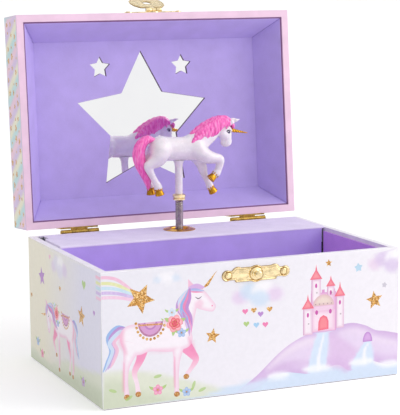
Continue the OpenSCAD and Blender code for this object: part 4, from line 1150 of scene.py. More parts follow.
def prints():
    """The printed sheets on the outside of the base and the lid."""
    sides = {
        "front": (front_picture, facing((0, FRONT_Y, 0))),
        "left": (left_picture, facing((-HALF_W, 0, 0), (0, -1, 0))),
        "right": (right_picture, facing((HALF_W, 0, 0), AWAY)),
        "back": (back_picture, facing((0, BACK_Y, 0), (-1, 0, 0))),
    }
    for seed, (side, (picture, place)) in enumerate(sides.items()):
        picture().sheet(f"base_{side}_print", place, "base")
        width = 2 * HALF_W if side in ("front", "back") else BACK_Y - FRONT_Y
        lid_side_picture(width, seed + 11).sheet(f"lid_{side}_print", LID @ place, "lid")
    lid_top_picture().sheet("lid_top_print", LID @ facing((0, 0, LID_TOP_Z), RIGHT, AWAY), "lid")


# --- case ----------------------------------------------------------------

END_GAP = 1.3
EDGE_STRIP = 0.75


def aimed(way):
    """Turns Z to a direction."""
    return Vector(way).to_track_quat("Z", "Y").to_matrix().to_4x4()


def drilled(obj, at, way, r):
    """Drills a round hole through a piece, at a point in millimetres."""
    reach = 12
    bm = lathe([(0, -reach), (r, -reach), (r, reach), (0, reach)], 40)
    bm.transform(Matrix.Translation(at) @ aimed(way))
    bm.transform(Matrix.Scale(MM, 4))
    bmesh.ops.recalc_face_normals(bm, faces=bm.faces)
    mesh = bpy.data.meshes.new("drill")
    bm.to_mesh(mesh)
    bm.free()
    drill = bpy.data.objects.new("drill", mesh)
    bpy.context.scene.collection.objects.link(drill)
    cut = obj.modifiers.new("hole", "BOOLEAN")
    cut.object, cut.operation, cut.solver = drill, "DIFFERENCE", "EXACT"
    bpy.context.view_layer.update()
    obj.data = bpy.data.meshes.new_from_object(obj.evaluated_get(bpy.context.evaluated_depsgraph_get()))
    obj.modifiers.clear()
    bpy.data.objects.remove(drill)


def star_panel():
    """The panel over the mirror. Where the stars are cut out, its walls show the card's dark core, with painted
    shade.
    """
    panel = softened("star_panel", "lid", LILAC_FLOCK, 0.12)
    # painted shade: the walls of the star cut-outs take the dark cut-card colour
    panel.data.materials.append(CUT_CARD_AND_SHADE)
    across = LID.to_3x3() @ Vector(UP)
    low, high = box_before(LID, "star_panel")
    margin = 3
    for face in panel.data.polygons:
        at = LID.inverted() @ (face.center / MM)
        inside = all(low[i] + margin < at[i] < high[i] - margin for i in (0, 1))
        if inside and abs(face.normal.dot(across)) < 0.5:
            face.material_index = 1


def shells():
    """The papered outsides of the base and the lid. The lid's is a tray turned over."""
    panels = [f"base_{side}_panel" for side in (*SIDES, "bottom")]
    base = tray((-HALF_W, FRONT_Y, BASE_LOW), (HALF_W, BACK_Y, BASE_TOP), WALL_T, FLOOR_Z, EDGE_R)
    base = piece("base_shell", base, "base", WHITE_PAPER, stands_for=panels)
    drilled(base, KEY_AT, AWAY, KEY_HOLE_R)
    panels = ["lid_top_panel", *(f"lid_{side}_rail" for side in SIDES)]
    lid = tray((-HALF_W, FRONT_Y, -LID_TOP_Z), (HALF_W, BACK_Y, -RIM_Z), WALL_T, -TOP_BOARD_Z, EDGE_R)
    lid = piece("lid_shell", lid, "lid", PINK_PAPER, LID @ Matrix.Diagonal((1, 1, -1, 1)), stands_for=panels)
    weighted(base)
    weighted(lid)


def case():
    """The papered base and lid, and the flocked card that lines them."""
    shells()
    for side in ("floor", "front", "left", "right"):
        softened(f"tray_{side}_lining", "base", PURPLE_FLOCK, 0.25)
    low, high = box_mm("platform_front_wall")
    wall = slab(low, (high[0] - END_GAP, high[1], high[2] + 0.4), 0.35)
    weighted(piece("platform_wall", wall, "base", WALL_FLOCK, stands_for=["platform_front_wall"]))
    inner_x, inner_y = HALF_W - WALL_T, BACK_Y - WALL_T
    # dark sheets along the side walls behind the platform's wall, as painted shade for the chamber
    for side, word in ((-1, "left"), (1, "right")):
        x = sorted((side * (inner_x - 0.02), side * (inner_x - 0.3)))
        liner = slab((x[0], high[1] + 0.3, FLOOR_Z), (x[1], inner_y, BASE_TOP - 0.6), 0.08)
        piece(f"chamber_shade_sheet_{word}", liner, "base", CHAMBER_SHADE_CARD)
    # the platform's top gets a paler flocking than its front wall, as painted light
    softened("platform_cover", "base", PLATFORM_TOP_LIT_FLOCK, 0.35)
    for side in SIDES:
        softened(f"lid_{side}_lining", "lid", LILAC_FLOCK, 0.3)
    star_panel()
    # strips of the lining's folded edge inside the rim, dark mauve as painted shade for the gap there
    strips = {
        "left": ((-inner_x, -inner_y), (-inner_x + EDGE_STRIP, inner_y)),
        "right": ((inner_x - EDGE_STRIP, -inner_y), (inner_x, inner_y)),
        "front": ((-inner_x, -inner_y), (inner_x, -inner_y + EDGE_STRIP)),
        "back": ((-inner_x, inner_y - EDGE_STRIP), (inner_x, inner_y)),
    }
    for side, (a, b) in strips.items():
        strip = slab((*a, RIM_Z + 0.7), (*b, RIM_Z + 1.9), 0.1)
        piece(f"lid_edge_{side}", strip, "lid", MAUVE_EDGE_SHADE, LID)
    # the underside sheet's grey is painted contact shade
    softened("underside_sheet", "base", UNDERSIDE_SHADE_PAPER, 0.12)
    softened("platform_brackets", "base", WHITE_PAPER, 0.25)


# --- hardware ------------------------------------------------------------


def plate_edge(w, h):
    """Outline of a stamped plate: a round middle, two round ends and waisted arms between them."""
    x = -w / 2 * np.cos(np.linspace(0, math.pi, 61))
    ends = [(s * (w / 2 - 0.32 * h), 0, 0.32 * h) for s in (-1, 1)]
    shoulders = [(s * 0.27 * w, 0.08 * h, 0.4 * h) for s in (-1, 1)]

    def reach(sign):
        arms = np.where(np.abs(x) < w / 2 - 0.32 * h, 0.275 * h, 0.0)
        rises = [arms, np.where(np.abs(x) < 0.3 * w, 0.42 * h, 0.0)]
        for cx, cy, r in [(0, 0, h / 2), *ends, *shoulders]:
            room = r * r - (x - cx) ** 2
            rises.append(np.where(room > 0, sign * cy + np.sqrt(np.maximum(room, 0)), 0.0))
        return sign * np.max(rises, axis=0)

    return np.concatenate([np.stack([x, reach(-1)], 1), np.stack([x, reach(1)], 1)[-2:0:-1]])


def step_up(value, start, end):
    """A smooth step from 0 to 1."""
    t = np.clip((value - start) / (end - start), 0, 1)
    return t * t * (3 - 2 * t)


def groove(value, at, width):
    """A soft groove, 1 deep where value passes at."""
    return np.exp(-(((value - at) / width) ** 2))


def stamped(nail_x, thickness):
    """Relief of a stamped plate: a groove inside its rim, fanned flutes, and a groove round each boss."""

    def height(depth, points):
        x, y = points[:, 0], points[:, 1]
        rim = step_up(depth, 0, 0.4) - 0.5 * groove(depth, 0.9, 0.24)
        flutes = 0.2 * np.cos(np.arctan2(y, np.abs(x) - 2.4) * 9) * step_up(depth, 1.0, 1.5)
        flutes *= step_up(np.abs(x), 3.4, 4.6) * (1 - step_up(np.abs(x), nail_x - 4.2, nail_x - 2.6))
        nails = 0.6 * groove(np.hypot(np.abs(x) - nail_x, y), 1.7, 0.3)
        boss = 0.6 * groove(np.hypot(x, y), 3.3, 0.35)
        return thickness * (0.25 + 0.75 * np.clip(rim * 0.85 + flutes - nails - boss, 0, 1))

    return height


def stamped_disc(thickness):
    """Relief of the hasp: a rolled rim and sunk rays round the hole."""

    def height(depth, points):
        x, y = points[:, 0], points[:, 1]
        rays = 0.2 * np.cos(np.arctan2(y, x) * 16) * step_up(depth, 0.9, 1.5)
        rays *= step_up(np.hypot(x, y), 3.6, 4.6)
        rim = step_up(depth, 0, 0.4) - 0.55 * groove(depth, 0.9, 0.25)
        return thickness / 2 * (0.3 + 0.7 * np.clip(rim + rays, 0, 1))

    return height


def latch():
    """The stamped plate on the front, and its turned knob."""
    low, high = box_mm("latch_plate")
    nail_x = box_mm("latch_nails")[1][0] - NAIL_HEAD_R
    z = (low[2] + high[2]) / 2
    outline = plate_edge(high[0] - low[0], high[2] - low[2])
    plate = relief(outline, [], 0.28, stamped(nail_x, FRONT_Y - low[1]))
    place = facing((0, FRONT_Y, z))
    piece("latch_plate_stamped", plate, "base", STAMPED_BRASS, place, stands_for=["latch_plate"])
    knob_low, knob_high = box_mm("latch_knob")
    r, reach = knob_high[0], low[1] - knob_low[1]
    foot = [(0, -0.4), (1.1 * r, -0.4), (1.1 * r, 0), (0.95 * r, 0.22)]
    neck = [(0.74 * r, 0.3), (0.7 * r, 0.45 * reach)]
    cap = [(r, 0.66 * reach), (0.97 * r, 0.82 * reach), (0.6 * r, 0.97 * reach), (0, reach)]
    knob = lathe([*foot, *spline([*neck, *cap], 4)])
    piece("latch_knob_turned", knob, "base", BRASS, facing((0, low[1], z)), stands_for=["latch_knob"])


def hasp_edge(r, lip):
    """Outline of the hasp: a scalloped disc cut flat above and below, with a lip that reaches further down."""
    a = np.linspace(0, 2 * math.pi, 96, endpoint=False) - math.pi / 2
    u, v = r * np.cos(a), np.clip(r * np.sin(a), -r * 0.8, r * 0.8)
    v = np.where((np.abs(u) < 1.9) & (np.sin(a) < 0), lip * (1 - 0.06 * u * u), v)
    return np.stack([np.clip(u * (1 + 0.015 * np.cos(a * 16)), -r, r), v], 1)


def hasp():
    """The pierced disc with its neck and knuckle, drawn hanging over the knob of the closed box."""
    low, high = box_before(HASP, "hasp_flap")
    knob_low, knob_high = box_mm("latch_knob")
    r, knob_z = high[0], (knob_low[2] + knob_high[2]) / 2
    outline, hole = hasp_edge(r, low[2] - knob_z), oval(0, 0, HASP_HOLE_R, n=36)
    middle = (0, HASP_AXIS.y, knob_z)
    front = relief(outline, [hole], 0.34, stamped_disc(HASP_T))
    piece("hasp_disc", front, "hasp", STAMPED_BRASS, HASP @ facing(middle), stands_for=["hasp_flap"])
    back = relief(outline * (-1, 1), [hole], 0.34, stamped_disc(HASP_T))
    piece("hasp_disc_back", back, "hasp", STAMPED_BRASS, HASP @ facing(middle, (-1, 0, 0)))
    neck_w, front_y, back_y = 2.6, HASP_AXIS.y - HASP_T / 2, HASP_AXIS.y + HASP_T / 2
    neck = slab((-neck_w / 2, front_y, knob_z + r * 0.72), (neck_w / 2, back_y, HASP_AXIS.z), 0.3)
    piece("hasp_neck", neck, "hasp", BRASS, HASP)
    knuckle = [(0.66, -1.3), (0.95, -1.3), (1.1, -1.1), (1.1, 1.1), (0.95, 1.3), (0.66, 1.3)]
    eye = lathe(knuckle, 32, closed=True)
    piece("hasp_knuckle", eye, "hasp", BRASS, HASP @ facing(HASP_AXIS, AWAY))


def grommet():
    """The rolled brass ring in the platform's cover."""
    low, high = box_mm("grommet_ring")
    r, top, sill = high[0], high[2], box_mm("platform_cover")[1][2]
    sleeve = [(4.9, low[2]), (5.5, low[2]), (5.5, sill), (r, sill), (r, sill + 0.2), (r - 0.25, sill + 0.36)]
    roll = [(r - 0.9, sill + 0.4), (r - 1.4, top - 0.3), (r - 2.1, top - 0.02), (6.0, top), (5.4, top - 0.12)]
    ring = lathe([*sleeve, *roll, (5.0, top - 0.45), (4.9, top - 0.8)], 72, True)
    piece("grommet_turned", ring, "base", WARM_BRASS, ON_POLE, stands_for=["grommet_ring"])


def collar():
    """The grooved collar between the spring and the pole."""
    low, high = box_mm("figure_collar")
    r, foot, top = high[0], low[2], high[2]
    bore_r, neck_r = 1.25, r - 0.55
    lower = [(bore_r, foot), (r - 0.5, foot), (r - 0.1, foot + 0.3), (r - 0.1, foot + 0.8)]
    neck = [(neck_r, foot + 1.0), (neck_r, foot + 1.2)]
    upper = [(r, foot + 1.45), (r, top - 0.5), (r - 0.35, top - 0.1), (r - 0.9, top), (bore_r, top)]
    ring = lathe([*lower, *neck, *upper], 56, True)
    piece("collar_turned", ring, "collar", BRASS, ON_POLE, stands_for=["figure_collar"])


def spring():
    """The close-wound spring, made as a lower and an upper coil that meet just below the sway joint."""
    low, high = box_mm("spring")
    r, split = high[0] - WIRE_R, joint_at("figure_sway").z - 1
    foot, head = low[2] + WIRE_R, high[2] - WIRE_R
    halves = (
        ("spring_coil_foot", foot, split, high[2] - 15.5, split - 0.5, "base", "spring_shaft"),
        ("spring_coil_head", split, head, split + 0.5, head, "spring_shaft", "collar"),
    )
    for name, first, last, start, end, below, above in halves:
        z = np.linspace(first, last, int((last - first) / WIRE_PITCH * 22))
        a = 2 * math.pi * z / WIRE_PITCH
        path = np.stack([r * np.cos(a), POLE_Y + r * np.sin(a), z], 1)
        stands_for = ["spring"] if below == "base" else ()
        coil = piece(name, tube(path, WIRE_R, 8), None, SPRING_STEEL, stands_for=stands_for)
        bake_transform(coil)


def stop_lever():
    """The wire that the lid presses, with the end above the platform's cover drawn down to a fine point."""
    bm = cad_shape("stop_lever")
    sill = box_mm("platform_cover")[0][2] - 1
    for v in bm.verts:
        x, y, z = v.co
        if z > sill:
            v.co = (LEVER_X + (x - LEVER_X) * 0.55, LEVER_Y + (y - LEVER_Y) * 0.55, sill + (z - sill) * 0.5)
    piece("stop_wire", bm, "stop_lever", DARK_STEEL, stands_for=["stop_lever"])


def hardware():
    """Latch, hasp, hinges, spring, key and movement."""
    latch()
    hasp()
    grommet()
    collar()
    spring()
    for side in ("left", "right"):
        softened(f"{side}_hinge_base_leaf", "base", OLD_BRASS, 0.12)
        softened(f"{side}_hinge_lid_leaf", "lid", OLD_BRASS, 0.12)
    softened("hinge_pins", "base", OLD_BRASS, 0.2)
    softened("hasp_plate", "lid", BRASS, 0.14)
    softened("hasp_pin", "lid", STEEL, 0.12)
    nails = {"hinge_base_nails": "base", "hinge_lid_nails": "lid", "latch_nails": "base", "hasp_nails": "lid"}
    for node, body in nails.items():
        softened(node, body, BRASS, 0.3, 3)
    softened("winding_key", "key", BRASS, 0.45, 3)
    softened("winding_arbor", "key", STEEL, 0.2)
    softened("spring_ferrule", "spring_shaft", BRASS, 0.15)
    stop_lever()
    for node, material in CAD_LOOKS.items():
        slots = frame["nodes"][node].data.materials
        for i in range(len(slots)):
            slots[i] = material


# --- figure --------------------------------------------------------------


class Clay:
    """A solid built up in a field of distances. Places are (x, depth, z), with depth measured from the pole."""

    def __init__(self, low, high, step):
        self.low, self.step = np.array(low, float), step
        axes = [np.arange(a, b + step, step) for a, b in zip(low, high)]
        self.points = np.stack(np.meshgrid(*axes, indexing="ij"), 3)
        self.field = np.full(self.points.shape[:3], 9.0)

    def near(self, ends, reach):
        """The part of the grid round some points."""
        ends = np.array(ends, float)
        low = np.floor((ends.min(0) - reach - self.low) / self.step).astype(int)
        high = np.ceil((ends.max(0) + reach - self.low) / self.step).astype(int) + 1
        return tuple(slice(max(a, 0), max(b, 0)) for a, b in zip(low, high))

    def cone(self, a, ra, b, rb, blend=1.2, flat=1.0):
        """Adds a round-ended cone, narrowed from front to back by flat."""
        part = self.near([a, b], max(ra, rb) / min(flat, 1) + blend + 0.5)
        a, b = np.array(a, float), np.array(b, float)
        squeeze = np.array([1, 1 / flat, 1])
        way = (b - a) * squeeze
        to = (self.points[part] - a) * squeeze
        t = np.clip(to @ way / max(way @ way, 1e-9), 0, 1)
        gap = np.linalg.norm(to - t[..., None] * way, axis=3) - (ra + (rb - ra) * t)
        self.join(part, gap * (flat + 1) / 2, blend)

    def join(self, part, gap, blend):
        """Merges a shape, given by its distances over part of the grid, with a soft seam."""
        field = self.field[part]
        h = np.clip(0.5 + 0.5 * (field - gap) / blend, 0, 1)
        self.field[part] = field + h * (gap - field) - blend * h * (1 - h)

    def limb(self, chain, blend=1.0, flat=1.0):
        """Adds a chain of (x, depth, z, radius)."""
        for a, b in zip(chain, chain[1:]):
            self.cone(a[:3], a[3], b[:3], b[3], blend, flat)

    def lock(self, points, steps=4):
        """Adds a curling lock through (x, depth, z, radius) points, hardly blended into its neighbours."""
        self.limb(spline(points, steps), 0.16)

    def dent(self, at, r, blend=0.6):
        """Presses a round hollow."""
        part = self.near([at], r + blend + 0.5)
        gap = r - np.linalg.norm(self.points[part] - at, axis=3)
        field = self.field[part]
        h = np.clip(0.5 - 0.5 * (field - gap) / blend, 0, 1)
        self.field[part] = field + h * (gap - field) + blend * h * (1 - h)

    def skin(self):
        """The surface as a bmesh, with a point in each cell that it crosses and a quad round each edge."""
        f, inside = self.field, self.field < 0
        cells = np.zeros(tuple(n - 1 for n in f.shape), int)
        corners = [(i, j, k) for i in (0, 1) for j in (0, 1) for k in (0, 1)]

        def corner(grid, c):
            return grid[tuple(slice(o, n - 1 + o) for o, n in zip(c, grid.shape))]

        for c in corners:
            cells += corner(inside, c)
        mixed = (cells > 0) & (cells < 8)
        ids = np.full(mixed.shape, -1)
        ids[mixed] = np.arange(mixed.sum())
        at = np.argwhere(mixed)
        total, count = np.zeros((len(at), 3)), np.zeros(len(at))
        for c in corners:
            for axis in range(3):
                if c[axis]:
                    continue
                d = tuple(1 if i == axis else v for i, v in enumerate(c))
                a, b = corner(f, c)[mixed], corner(f, d)[mixed]
                cross = (a < 0) != (b < 0)
                spot = np.tile(np.array(c, float), (len(at), 1))
                spot[:, axis] = a / np.where(cross, a - b, 1)
                total[cross] += spot[cross]
                count += cross
        points = self.low + (at + total / count[:, None]) * self.step
        quads = []
        for axis in range(3):
            u, v = (axis + 1) % 3, (axis + 2) % 3
            near, far = [slice(None)] * 3, [slice(None)] * 3
            near[axis], far[axis] = slice(None, -1), slice(1, None)
            change = np.argwhere(inside[tuple(near)] != inside[tuple(far)])
            change = change[(change[:, u] > 0) & (change[:, v] > 0)]
            change = change[(change[:, u] < f.shape[u] - 1) & (change[:, v] < f.shape[v] - 1)]
            du, dv = np.eye(3, dtype=int)[u], np.eye(3, dtype=int)[v]
            ring = [change, change - du, change - du - dv, change - dv]
            quads.append(np.stack([ids[tuple(r.T)] for r in ring], 1))
        points[:, 1] += POLE_Y
        return from_arrays(points, np.concatenate(quads))


LEGS = [
    [(-11.5, -3, 108, 4.8), (-13.5, -3.1, 104.6, 3.8), (-17.2, -3.1, 102.4, 2.5), (-18.6, -3, 101.2, 2.1),
     (-17.2, -3, 97.6, 1.7), (-14.4, -3, 92.6, 1.45), (-13.3, -3, 90.4, 1.75), (-12.8, -3, 89, 1.7)],
    [(-11.5, 3, 108, 4.8), (-15, 3.1, 104.8, 3.4), (-18.4, 3.1, 101.8, 2.3), (-19.0, 3, 100.6, 2.0),
     (-17.8, 3, 97, 1.6), (-16, 3, 92.4, 1.4), (-15.3, 3, 90.4, 1.7), (-15, 3, 89, 1.6)],
    [(10.8, -2.8, 107.4, 4.6), (15, -3.1, 104.8, 3.6), (20.2, -3.2, 103.5, 2.5), (22.4, -3.2, 102.7, 2.25),
     (22.4, -3.1, 100, 1.8), (21.6, -3, 97, 1.5), (20.6, -3, 95.6, 1.75), (19.8, -3, 94.8, 1.65)],
    [(10.6, 2.8, 106.6, 4.4), (13, 3, 102.6, 3.1), (14.9, 3, 98.4, 2.2), (15.1, 3, 97.2, 2.05),
     (16.2, 3, 94, 1.6), (18.4, 3, 89.8, 1.4), (19.1, 3, 88.4, 1.65), (19.5, 3, 87.4, 1.6)],
]
HOOVES = [((-12.9, -3, 89), (-12.1, -3, 85.5)), ((-15.1, 3, 89.1), (-14.8, 3, 85.3)),
          ((20.0, -3, 95.0), (16.9, -3, 92.5)), ((19.5, 3, 87.6), (21.5, 3, 84.3))]


def coat(step):
    """The unicorn's body, head and legs."""
    clay = Clay((-23, -8.5, 85), (35, 8.5, 126), step)
    clay.cone((-9.5, 0, 109.8), 6.4, (9, 0, 109), 6.2, 1.5, 0.86)
    clay.cone((-11, 0, 111.2), 5.0, (-11, 0, 111), 5.0, 2.0)
    clay.cone((6, 0, 110.6), 4.9, (9, 0, 110.6), 4.8, 2.0)
    for s in (-1, 1):
        clay.cone((-11.2, s * 2.5, 109.2), 5.2, (-12, s * 2.7, 107.4), 4.8, 1.8)
        clay.cone((9.8, s * 2.4, 109.4), 4.5, (10.8, s * 2.5, 107), 4.2, 1.8)
    clay.cone((10.8, 0, 108.6), 5.2, (11.2, 0, 107.6), 4.8, 1.8)
    neck = [(9.5, 0, 111.6, 6.2), (13.4, 0, 114.2, 5.5), (17.2, 0, 116.6, 4.8), (21, 0, 119.4, 4.1)]
    clay.limb([*neck, (24.4, 0, 120.9, 3.7)], 1.6, 0.78)
    head = [(26.4, 0, 118.4, 3.9), (27.2, 0, 115.6, 3.3), (27.8, 0, 112.6, 2.6), (27.7, 0, 111.5, 2.5)]
    clay.limb(head, 1.2, 0.82)
    clay.cone((26.5, 0, 111.3), 1.9, (28.9, 0, 111.5), 1.8, 0.7, 0.9)
    for s in (-1, 1):
        clay.cone((25.2, s * 1.4, 116.4), 2.2, (26, s * 1.4, 115.4), 1.9, 1.0)
        clay.cone((29, s * 1.7, 118.7), 1.0, (29.6, s * 1.7, 118), 0.9, 0.9)
        ear = [(27.8, s * 1.9, 121, 1.2), (30.2, s * 2.3, 122.6, 1.15), (32.6, s * 2.5, 123.4, 0.75)]
        clay.limb([*ear, (34.4, s * 2.6, 123.8, 0.3)], 0.5)
        clay.dent((31.2, s * 3.6, 123), 0.85, 0.4)
        clay.dent((29.7, s * 2.3, 112.3), 0.42, 0.35)
    for x, z in ((25.8, 110.7), (27.2, 110.9), (28.6, 111.1)):
        for s in (-1, 1):
            clay.dent((x, s * 2.35, z), 0.34, 0.3)
    for chain in LEGS:
        clay.limb(spline(chain, 3), 0.9)
    return clay.skin()


def mane(clay):
    """Curling locks that hang on both sides from the crest of the neck, each a little different."""
    rng = np.random.default_rng(3)
    crest = [(6.4, 115.4), (9.6, 118.6), (13.2, 121.2), (17.4, 123.4), (21.4, 124.8), (25.6, 124.6)]
    tips = [(5.2, 111.4), (8.8, 112.2), (13, 112.8), (17.2, 114.2), (20.8, 116.2), (24.4, 119)]
    crest, tips = spline(crest, 4), spline(tips, 4)
    clay.limb([(x, 0, z - 0.9, 1.8) for x, z in crest[::3]], 0.8)
    for i in range(len(crest) * 2 - 1):
        x0, z0 = (crest[i // 2] + crest[(i + 1) // 2]) / 2
        x1, z1 = (tips[i // 2] + tips[(i + 1) // 2]) / 2
        for s in (-1, 1):
            short, wave = rng.uniform(0, 2.6), rng.uniform(-0.7, 0.7)
            out = 3.7 + rng.uniform(0, 0.7) - 0.03 * i
            x, z = x1 + short * 0.5, z1 + short
            root = [(x0 + 1.4, s * 0.5, z0 + 0.3, 0.95), (x0 + 0.9, s * 2.5, z0 - 1.0, 0.95)]
            middle = ((x0 + x) / 2 + 1.3 + wave, s * out, (z0 + z) / 2, 0.9)
            curl = (x + 0.9 - wave * 0.5, s * (out + 0.35), z + 1.7, 0.7)
            clay.lock([*root, middle, curl, (x - 0.5, s * (out + 0.2), z, 0.25)], steps=3)


def forelock(clay):
    """Locks that fall between the ears and over the cheeks."""
    for k, s in enumerate((-1.3, -0.5, 0.5, 1.3)):
        root = [(23.6, s * 0.9, 125.2, 1.0), (27, s * 1.1, 125 - 0.3 * k, 1.05)]
        end = [(31 + 0.2 * k, s * 1.5, 120.8, 0.8), (31.4, s * 1.5, 119.2 - 0.2 * k, 0.3)]
        clay.lock([*root, (29.6, s * 1.4, 122.8 - 0.3 * k, 1.0), *end])
    for s in (-1, 1):
        for dx, dz in ((0, 0), (1.5, 1.2)):
            root, middle = (25.2 + dx, s * 1.6, 124, 1.0), (26.8 + dx, s * 3, 121.8, 0.9)
            clay.lock([root, middle, (26.4 + dx, s * 3.6, 119.2 + dz, 0.3)])


def tail(clay):
    """Strands that spread from the dock and draw together again at the tip."""
    strands = [
        (0, 0, 0), (1.6, 1.2, 0.4), (1.5, -1.3, 0.2), (-1.2, 1.2, -0.3), (-1.2, -1.2, -0.6), (0.2, 1.7, 1.2),
        (0.3, -1.8, 0.8), (2.8, 0.3, 1.6), (-1.7, 0, 0.6),
    ]
    for dx, dy, dz in strands:
        dock = [(-14.4, dy * 0.3, 114.8 + dx * 0.1, 1.1), (-17.8, dy * 0.6, 115.3 - dx * 0.6, 1.2)]
        fall = [(-21.4 + dx * 0.7, dy * 0.9, 113 - dx * 0.4, 1.3), (-23.2 + dx, dy, 108.2, 1.3)]
        sweep = [(-22.4 + dx, dy, 102.8, 1.2), (-20.2 + dx * 0.8, dy * 0.8, 97.6, 1.05)]
        tip = [(-18.2 + dx * 0.6, dy * 0.5, 93 + dz, 0.8), (-17.2 + dx * 0.3, dy * 0.2, 89 + dz * 1.4, 0.28)]
        clay.lock([*dock, *fall, *sweep, *tip], steps=3)


def hair(step):
    """Mane, forelock and tail, in separate curling locks."""
    clay = Clay((-28, -6.5, 86), (36, 6.5, 129), step)
    mane(clay)
    forelock(clay)
    tail(clay)
    return clay.skin()


def from_pole(at):
    """The place of a point of the figure."""
    return Matrix.Translation((at[0], POLE_Y + at[1], at[2]))


def hoof(top, foot):
    """A hoof from the pastern at top down to a flat sole, wider below, with a shaggy collar over it."""
    way = Vector(foot) - Vector(top)
    n = way.length
    shag = [(0, -0.9), (1.5, -0.9), (1.95, -0.5), (2.15, 0.1), (2.0, 0.6), (1.75, 0.9)]
    sole = [(2.45, n - 0.25), (2.2, n), (1.4, n), (1.1, n - 0.3), (0, n - 0.35)]
    bm = lathe([*shag, (1.9, 1.1), (2.3, 0.75 * n), *sole], 36)
    for v in bm.verts:
        if v.co.z < 0.9:
            v.co.xy *= 1 + 0.07 * math.cos(9 * math.atan2(v.co.y, v.co.x))
    bm.transform(from_pole(top) @ aimed(way))
    return bm


def horn(root, tip, r):
    """A tapering horn with a raised spiral."""
    rows, sides = 60, 20
    points = []
    for i in range(rows):
        t = i / (rows - 1)
        for k in range(sides):
            a = 2 * math.pi * k / sides
            ridge = 1 + 0.13 * math.cos(2 * (a - 2 * math.pi * 3.2 * t))
            size = r * (1 - 0.8 * t) * ridge
            points.append((size * math.cos(a), size * math.sin(a), t))
    bm = hoops(points, sides)
    way = Vector(tip) - Vector(root)
    bm.transform(from_pole(root) @ aimed(way) @ Matrix.Diagonal((1, 1, way.length, 1)))
    return bm


def painted(name, outline, side, tree, material, lift=0.05):
    """A spot of paint on one side of the head, laid on the coat's surface. The outline is in (x, z)."""
    spots = grid(outline.min(0), outline.max(0), 0.2)
    free = spots[measure(spots, outline) < -0.06]
    points, faces = triangles([outline], free, lambda c: measure(c, outline) < 0)
    top, low = [], []
    for x, z in points:
        start = Vector((x, POLE_Y + side * 12, z)) * MM
        hit = tree.ray_cast(start, Vector((0, -side, 0)))[0] / MM
        top.append((x, hit.y + side * lift, z))
        low.append((x, hit.y - side * 0.15, z))
    return piece(name, two_sided(top, low, faces), "figure", material)


def eyes(body):
    """A painted eye on each side of the head, with its iris, glint and lash."""
    tree = BVHTree.FromObject(body, bpy.context.evaluated_depsgraph_get())
    x, z, slant = 28.0, 117.3, -28
    for side, word in ((-1, "near"), (1, "far")):
        painted(f"eye_{word}", oval(x, z, 1.1, 0.74, slant, 24), side, tree, EYE_PAINT)
        painted(f"eye_{word}_iris", oval(x + 0.1, z - 0.12, 0.5, 0.4, slant, 18), side, tree, IRIS, 0.07)
        painted(f"eye_{word}_glint", oval(x - 0.35, z + 0.28, 0.24, 0.2, 0, 12), side, tree, EYE_WHITE, 0.09)
        rise, fall = (x - 0.5, z + 1.0, 0.42), (x + 0.9, z + 0.75, 0.3)
        lash = stroke([(x - 1.7, z + 0.2, 0.14), rise, fall, (x + 1.6, z + 0.1, 0.12)])
        painted(f"eye_{word}_lash", lash, side, tree, EYE_PAINT, 0.06)


def pole():
    """The post under the belly: a thin peg in the collar, then a stem that flares into the coat."""
    low, high = box_mm("figure_pole")
    r, peg_r, sill, flare = high[0], 1.1, 85.2, 99.5
    peg = [(0, low[2]), (peg_r, low[2]), (peg_r, sill), (r - 0.25, sill)]
    stem = [(r, 85.5), (r, flare), (r + 0.25, 101.6), (r + 1.0, 103.2), (0, 103.6)]
    bm = lathe([*peg, *stem], 40)
    piece("pole_turned", bm, "figure", WHITE_PLASTIC, ON_POLE, stands_for=["figure_pole"])


def figure():
    """The unicorn on its pole."""
    step = 0.28
    body = piece("unicorn_coat", coat(step), "figure", WHITE_PLASTIC, stands_for=["figure_body"], sharp=80)
    eyes(body)
    piece("unicorn_hair", hair(step * 0.9), "figure", PINK_PLASTIC, stands_for=["figure_hair"], sharp=80)
    for i, (top, foot) in enumerate(HOOVES):
        stands_for = ["figure_hooves"] if i == 0 else ()
        piece(f"hoof_{i + 1}", hoof(top, foot), "figure", GOLD_PAINT, stands_for=stands_for, sharp=50)
    spiral = horn((30.4, 0, 118), (40.2, 0, 116.0), 1.15)
    piece("unicorn_horn", spiral, "figure", GOLD_PAINT, stands_for=["figure_horn"], sharp=70)
    pole()


# --- studio --------------------------------------------------------------

CAMERA_AZIMUTH, CAMERA_TILT, CAMERA_ROLL = -23.16, 8.50, -0.47
CAMERA_FAR, CAMERA_LENS = 799.5, 136.07
CAMERA_TARGET = Vector((-4.79, 0, 83.46))


def camera():
    """The camera, aimed at the photo's view of the box and rolled a little."""
    a, e, roll = (math.radians(v) for v in (CAMERA_AZIMUTH, CAMERA_TILT, CAMERA_ROLL))
    back = Vector((math.sin(a) * math.cos(e), -math.cos(a) * math.cos(e), math.sin(e)))
    side = Vector(UP).cross(back).normalized()
    up = back.cross(side)
    x = math.cos(roll) * side + math.sin(roll) * up
    y = back.cross(x)
    place = Matrix((x, y, back)).transposed().to_4x4()
    place.translation = (CAMERA_TARGET + back * CAMERA_FAR) * MM
    data = bpy.data.cameras.new("camera")
    data.lens, data.sensor_width = CAMERA_LENS, 36
    data.clip_start, data.clip_end = 0.01, 50
    obj = bpy.data.objects.new("camera", data)
    obj.matrix_world = place
    bpy.context.scene.collection.objects.link(obj)
    bpy.context.scene.camera = obj


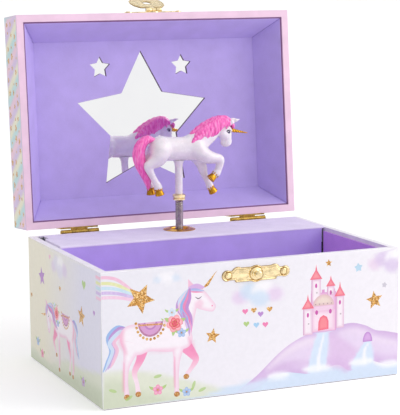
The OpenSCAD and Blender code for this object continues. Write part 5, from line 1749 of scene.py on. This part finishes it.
def lamp(name, at, size, watts):
    """A square soft light at a place in millimetres, turned to the middle of the box."""
    data = bpy.data.lights.new(name, "AREA")
    data.size, data.energy = size, watts
    obj = bpy.data.objects.new(name, data)
    obj.location = Vector(at) * MM
    obj.rotation_mode = "QUATERNION"
    obj.rotation_quaternion = (Vector(at) - Vector((0, 0, 80))).to_track_quat("Z", "Y")
    bpy.context.scene.collection.objects.link(obj)


def floor():
    """A pale floor, in metres, that runs up into a pale wall at the back and glows a little."""
    rows = [(-30.0, 0.0), (3.0, 0.0), (4.0, 0.12), (4.8, 0.6), (5.2, 1.4), (5.3, 4.0)]
    strips = [(2 * i, 2 * i + 1, 2 * i + 3, 2 * i + 2) for i in range(len(rows) - 1)]
    bm = from_arrays([(x, y, z) for y, z in rows for x in (-20.0, 20.0)], strips)
    mesh = bpy.data.meshes.new("floor")
    bm.to_mesh(mesh)
    bm.free()
    mesh.shade_smooth()
    obj = bpy.data.objects.new("floor", mesh)
    bpy.context.scene.collection.objects.link(obj)
    look = Finish("floor", (0.93,) * 3, 0.9, Specular_IOR_Level=0.1, Emission_Strength=0.22)
    look.set("Emission Color", (1, 1, 1, 1))
    look.set("Base Color", look.ramp(look.noise(400), (0.3, (0.92, 0.92, 0.92)), (0.7, (0.94, 0.94, 0.94))))
    mesh.materials.append(look.material)


def sky():
    """A white sky that is brighter towards the key light's side."""
    world = bpy.data.worlds.new("sky")
    world.use_nodes = True
    tree = world.node_tree
    shader = next(n for n in tree.nodes if n.type == "BACKGROUND")
    shader.inputs["Color"].default_value = (1, 1, 1, 1)
    toward = tree.nodes.new("ShaderNodeVectorMath")
    toward.operation = "DOT_PRODUCT"
    toward.inputs[1].default_value = Vector((0.55, -0.5, 0.67)).normalized()
    tree.links.new(tree.nodes.new("ShaderNodeTexCoord").outputs["Generated"], toward.inputs[0])
    span = tree.nodes.new("ShaderNodeMapRange")
    for key, value in (("From Min", -0.8), ("From Max", 0.9), ("To Min", 0.22), ("To Max", 1.0)):
        span.inputs[key].default_value = value
    tree.links.new(toward.outputs["Value"], span.inputs["Value"])
    tree.links.new(span.outputs["Result"], shader.inputs["Strength"])
    bpy.context.scene.world = world


def studio():
    """Floor, sky and one large key light."""
    floor()
    sky()
    bpy.context.scene.view_settings.view_transform = "Standard"
    lamp("key", (1100, -620, 760), 1.1, 7.4)


camera()
case()
prints()
hardware()
figure()
studio()
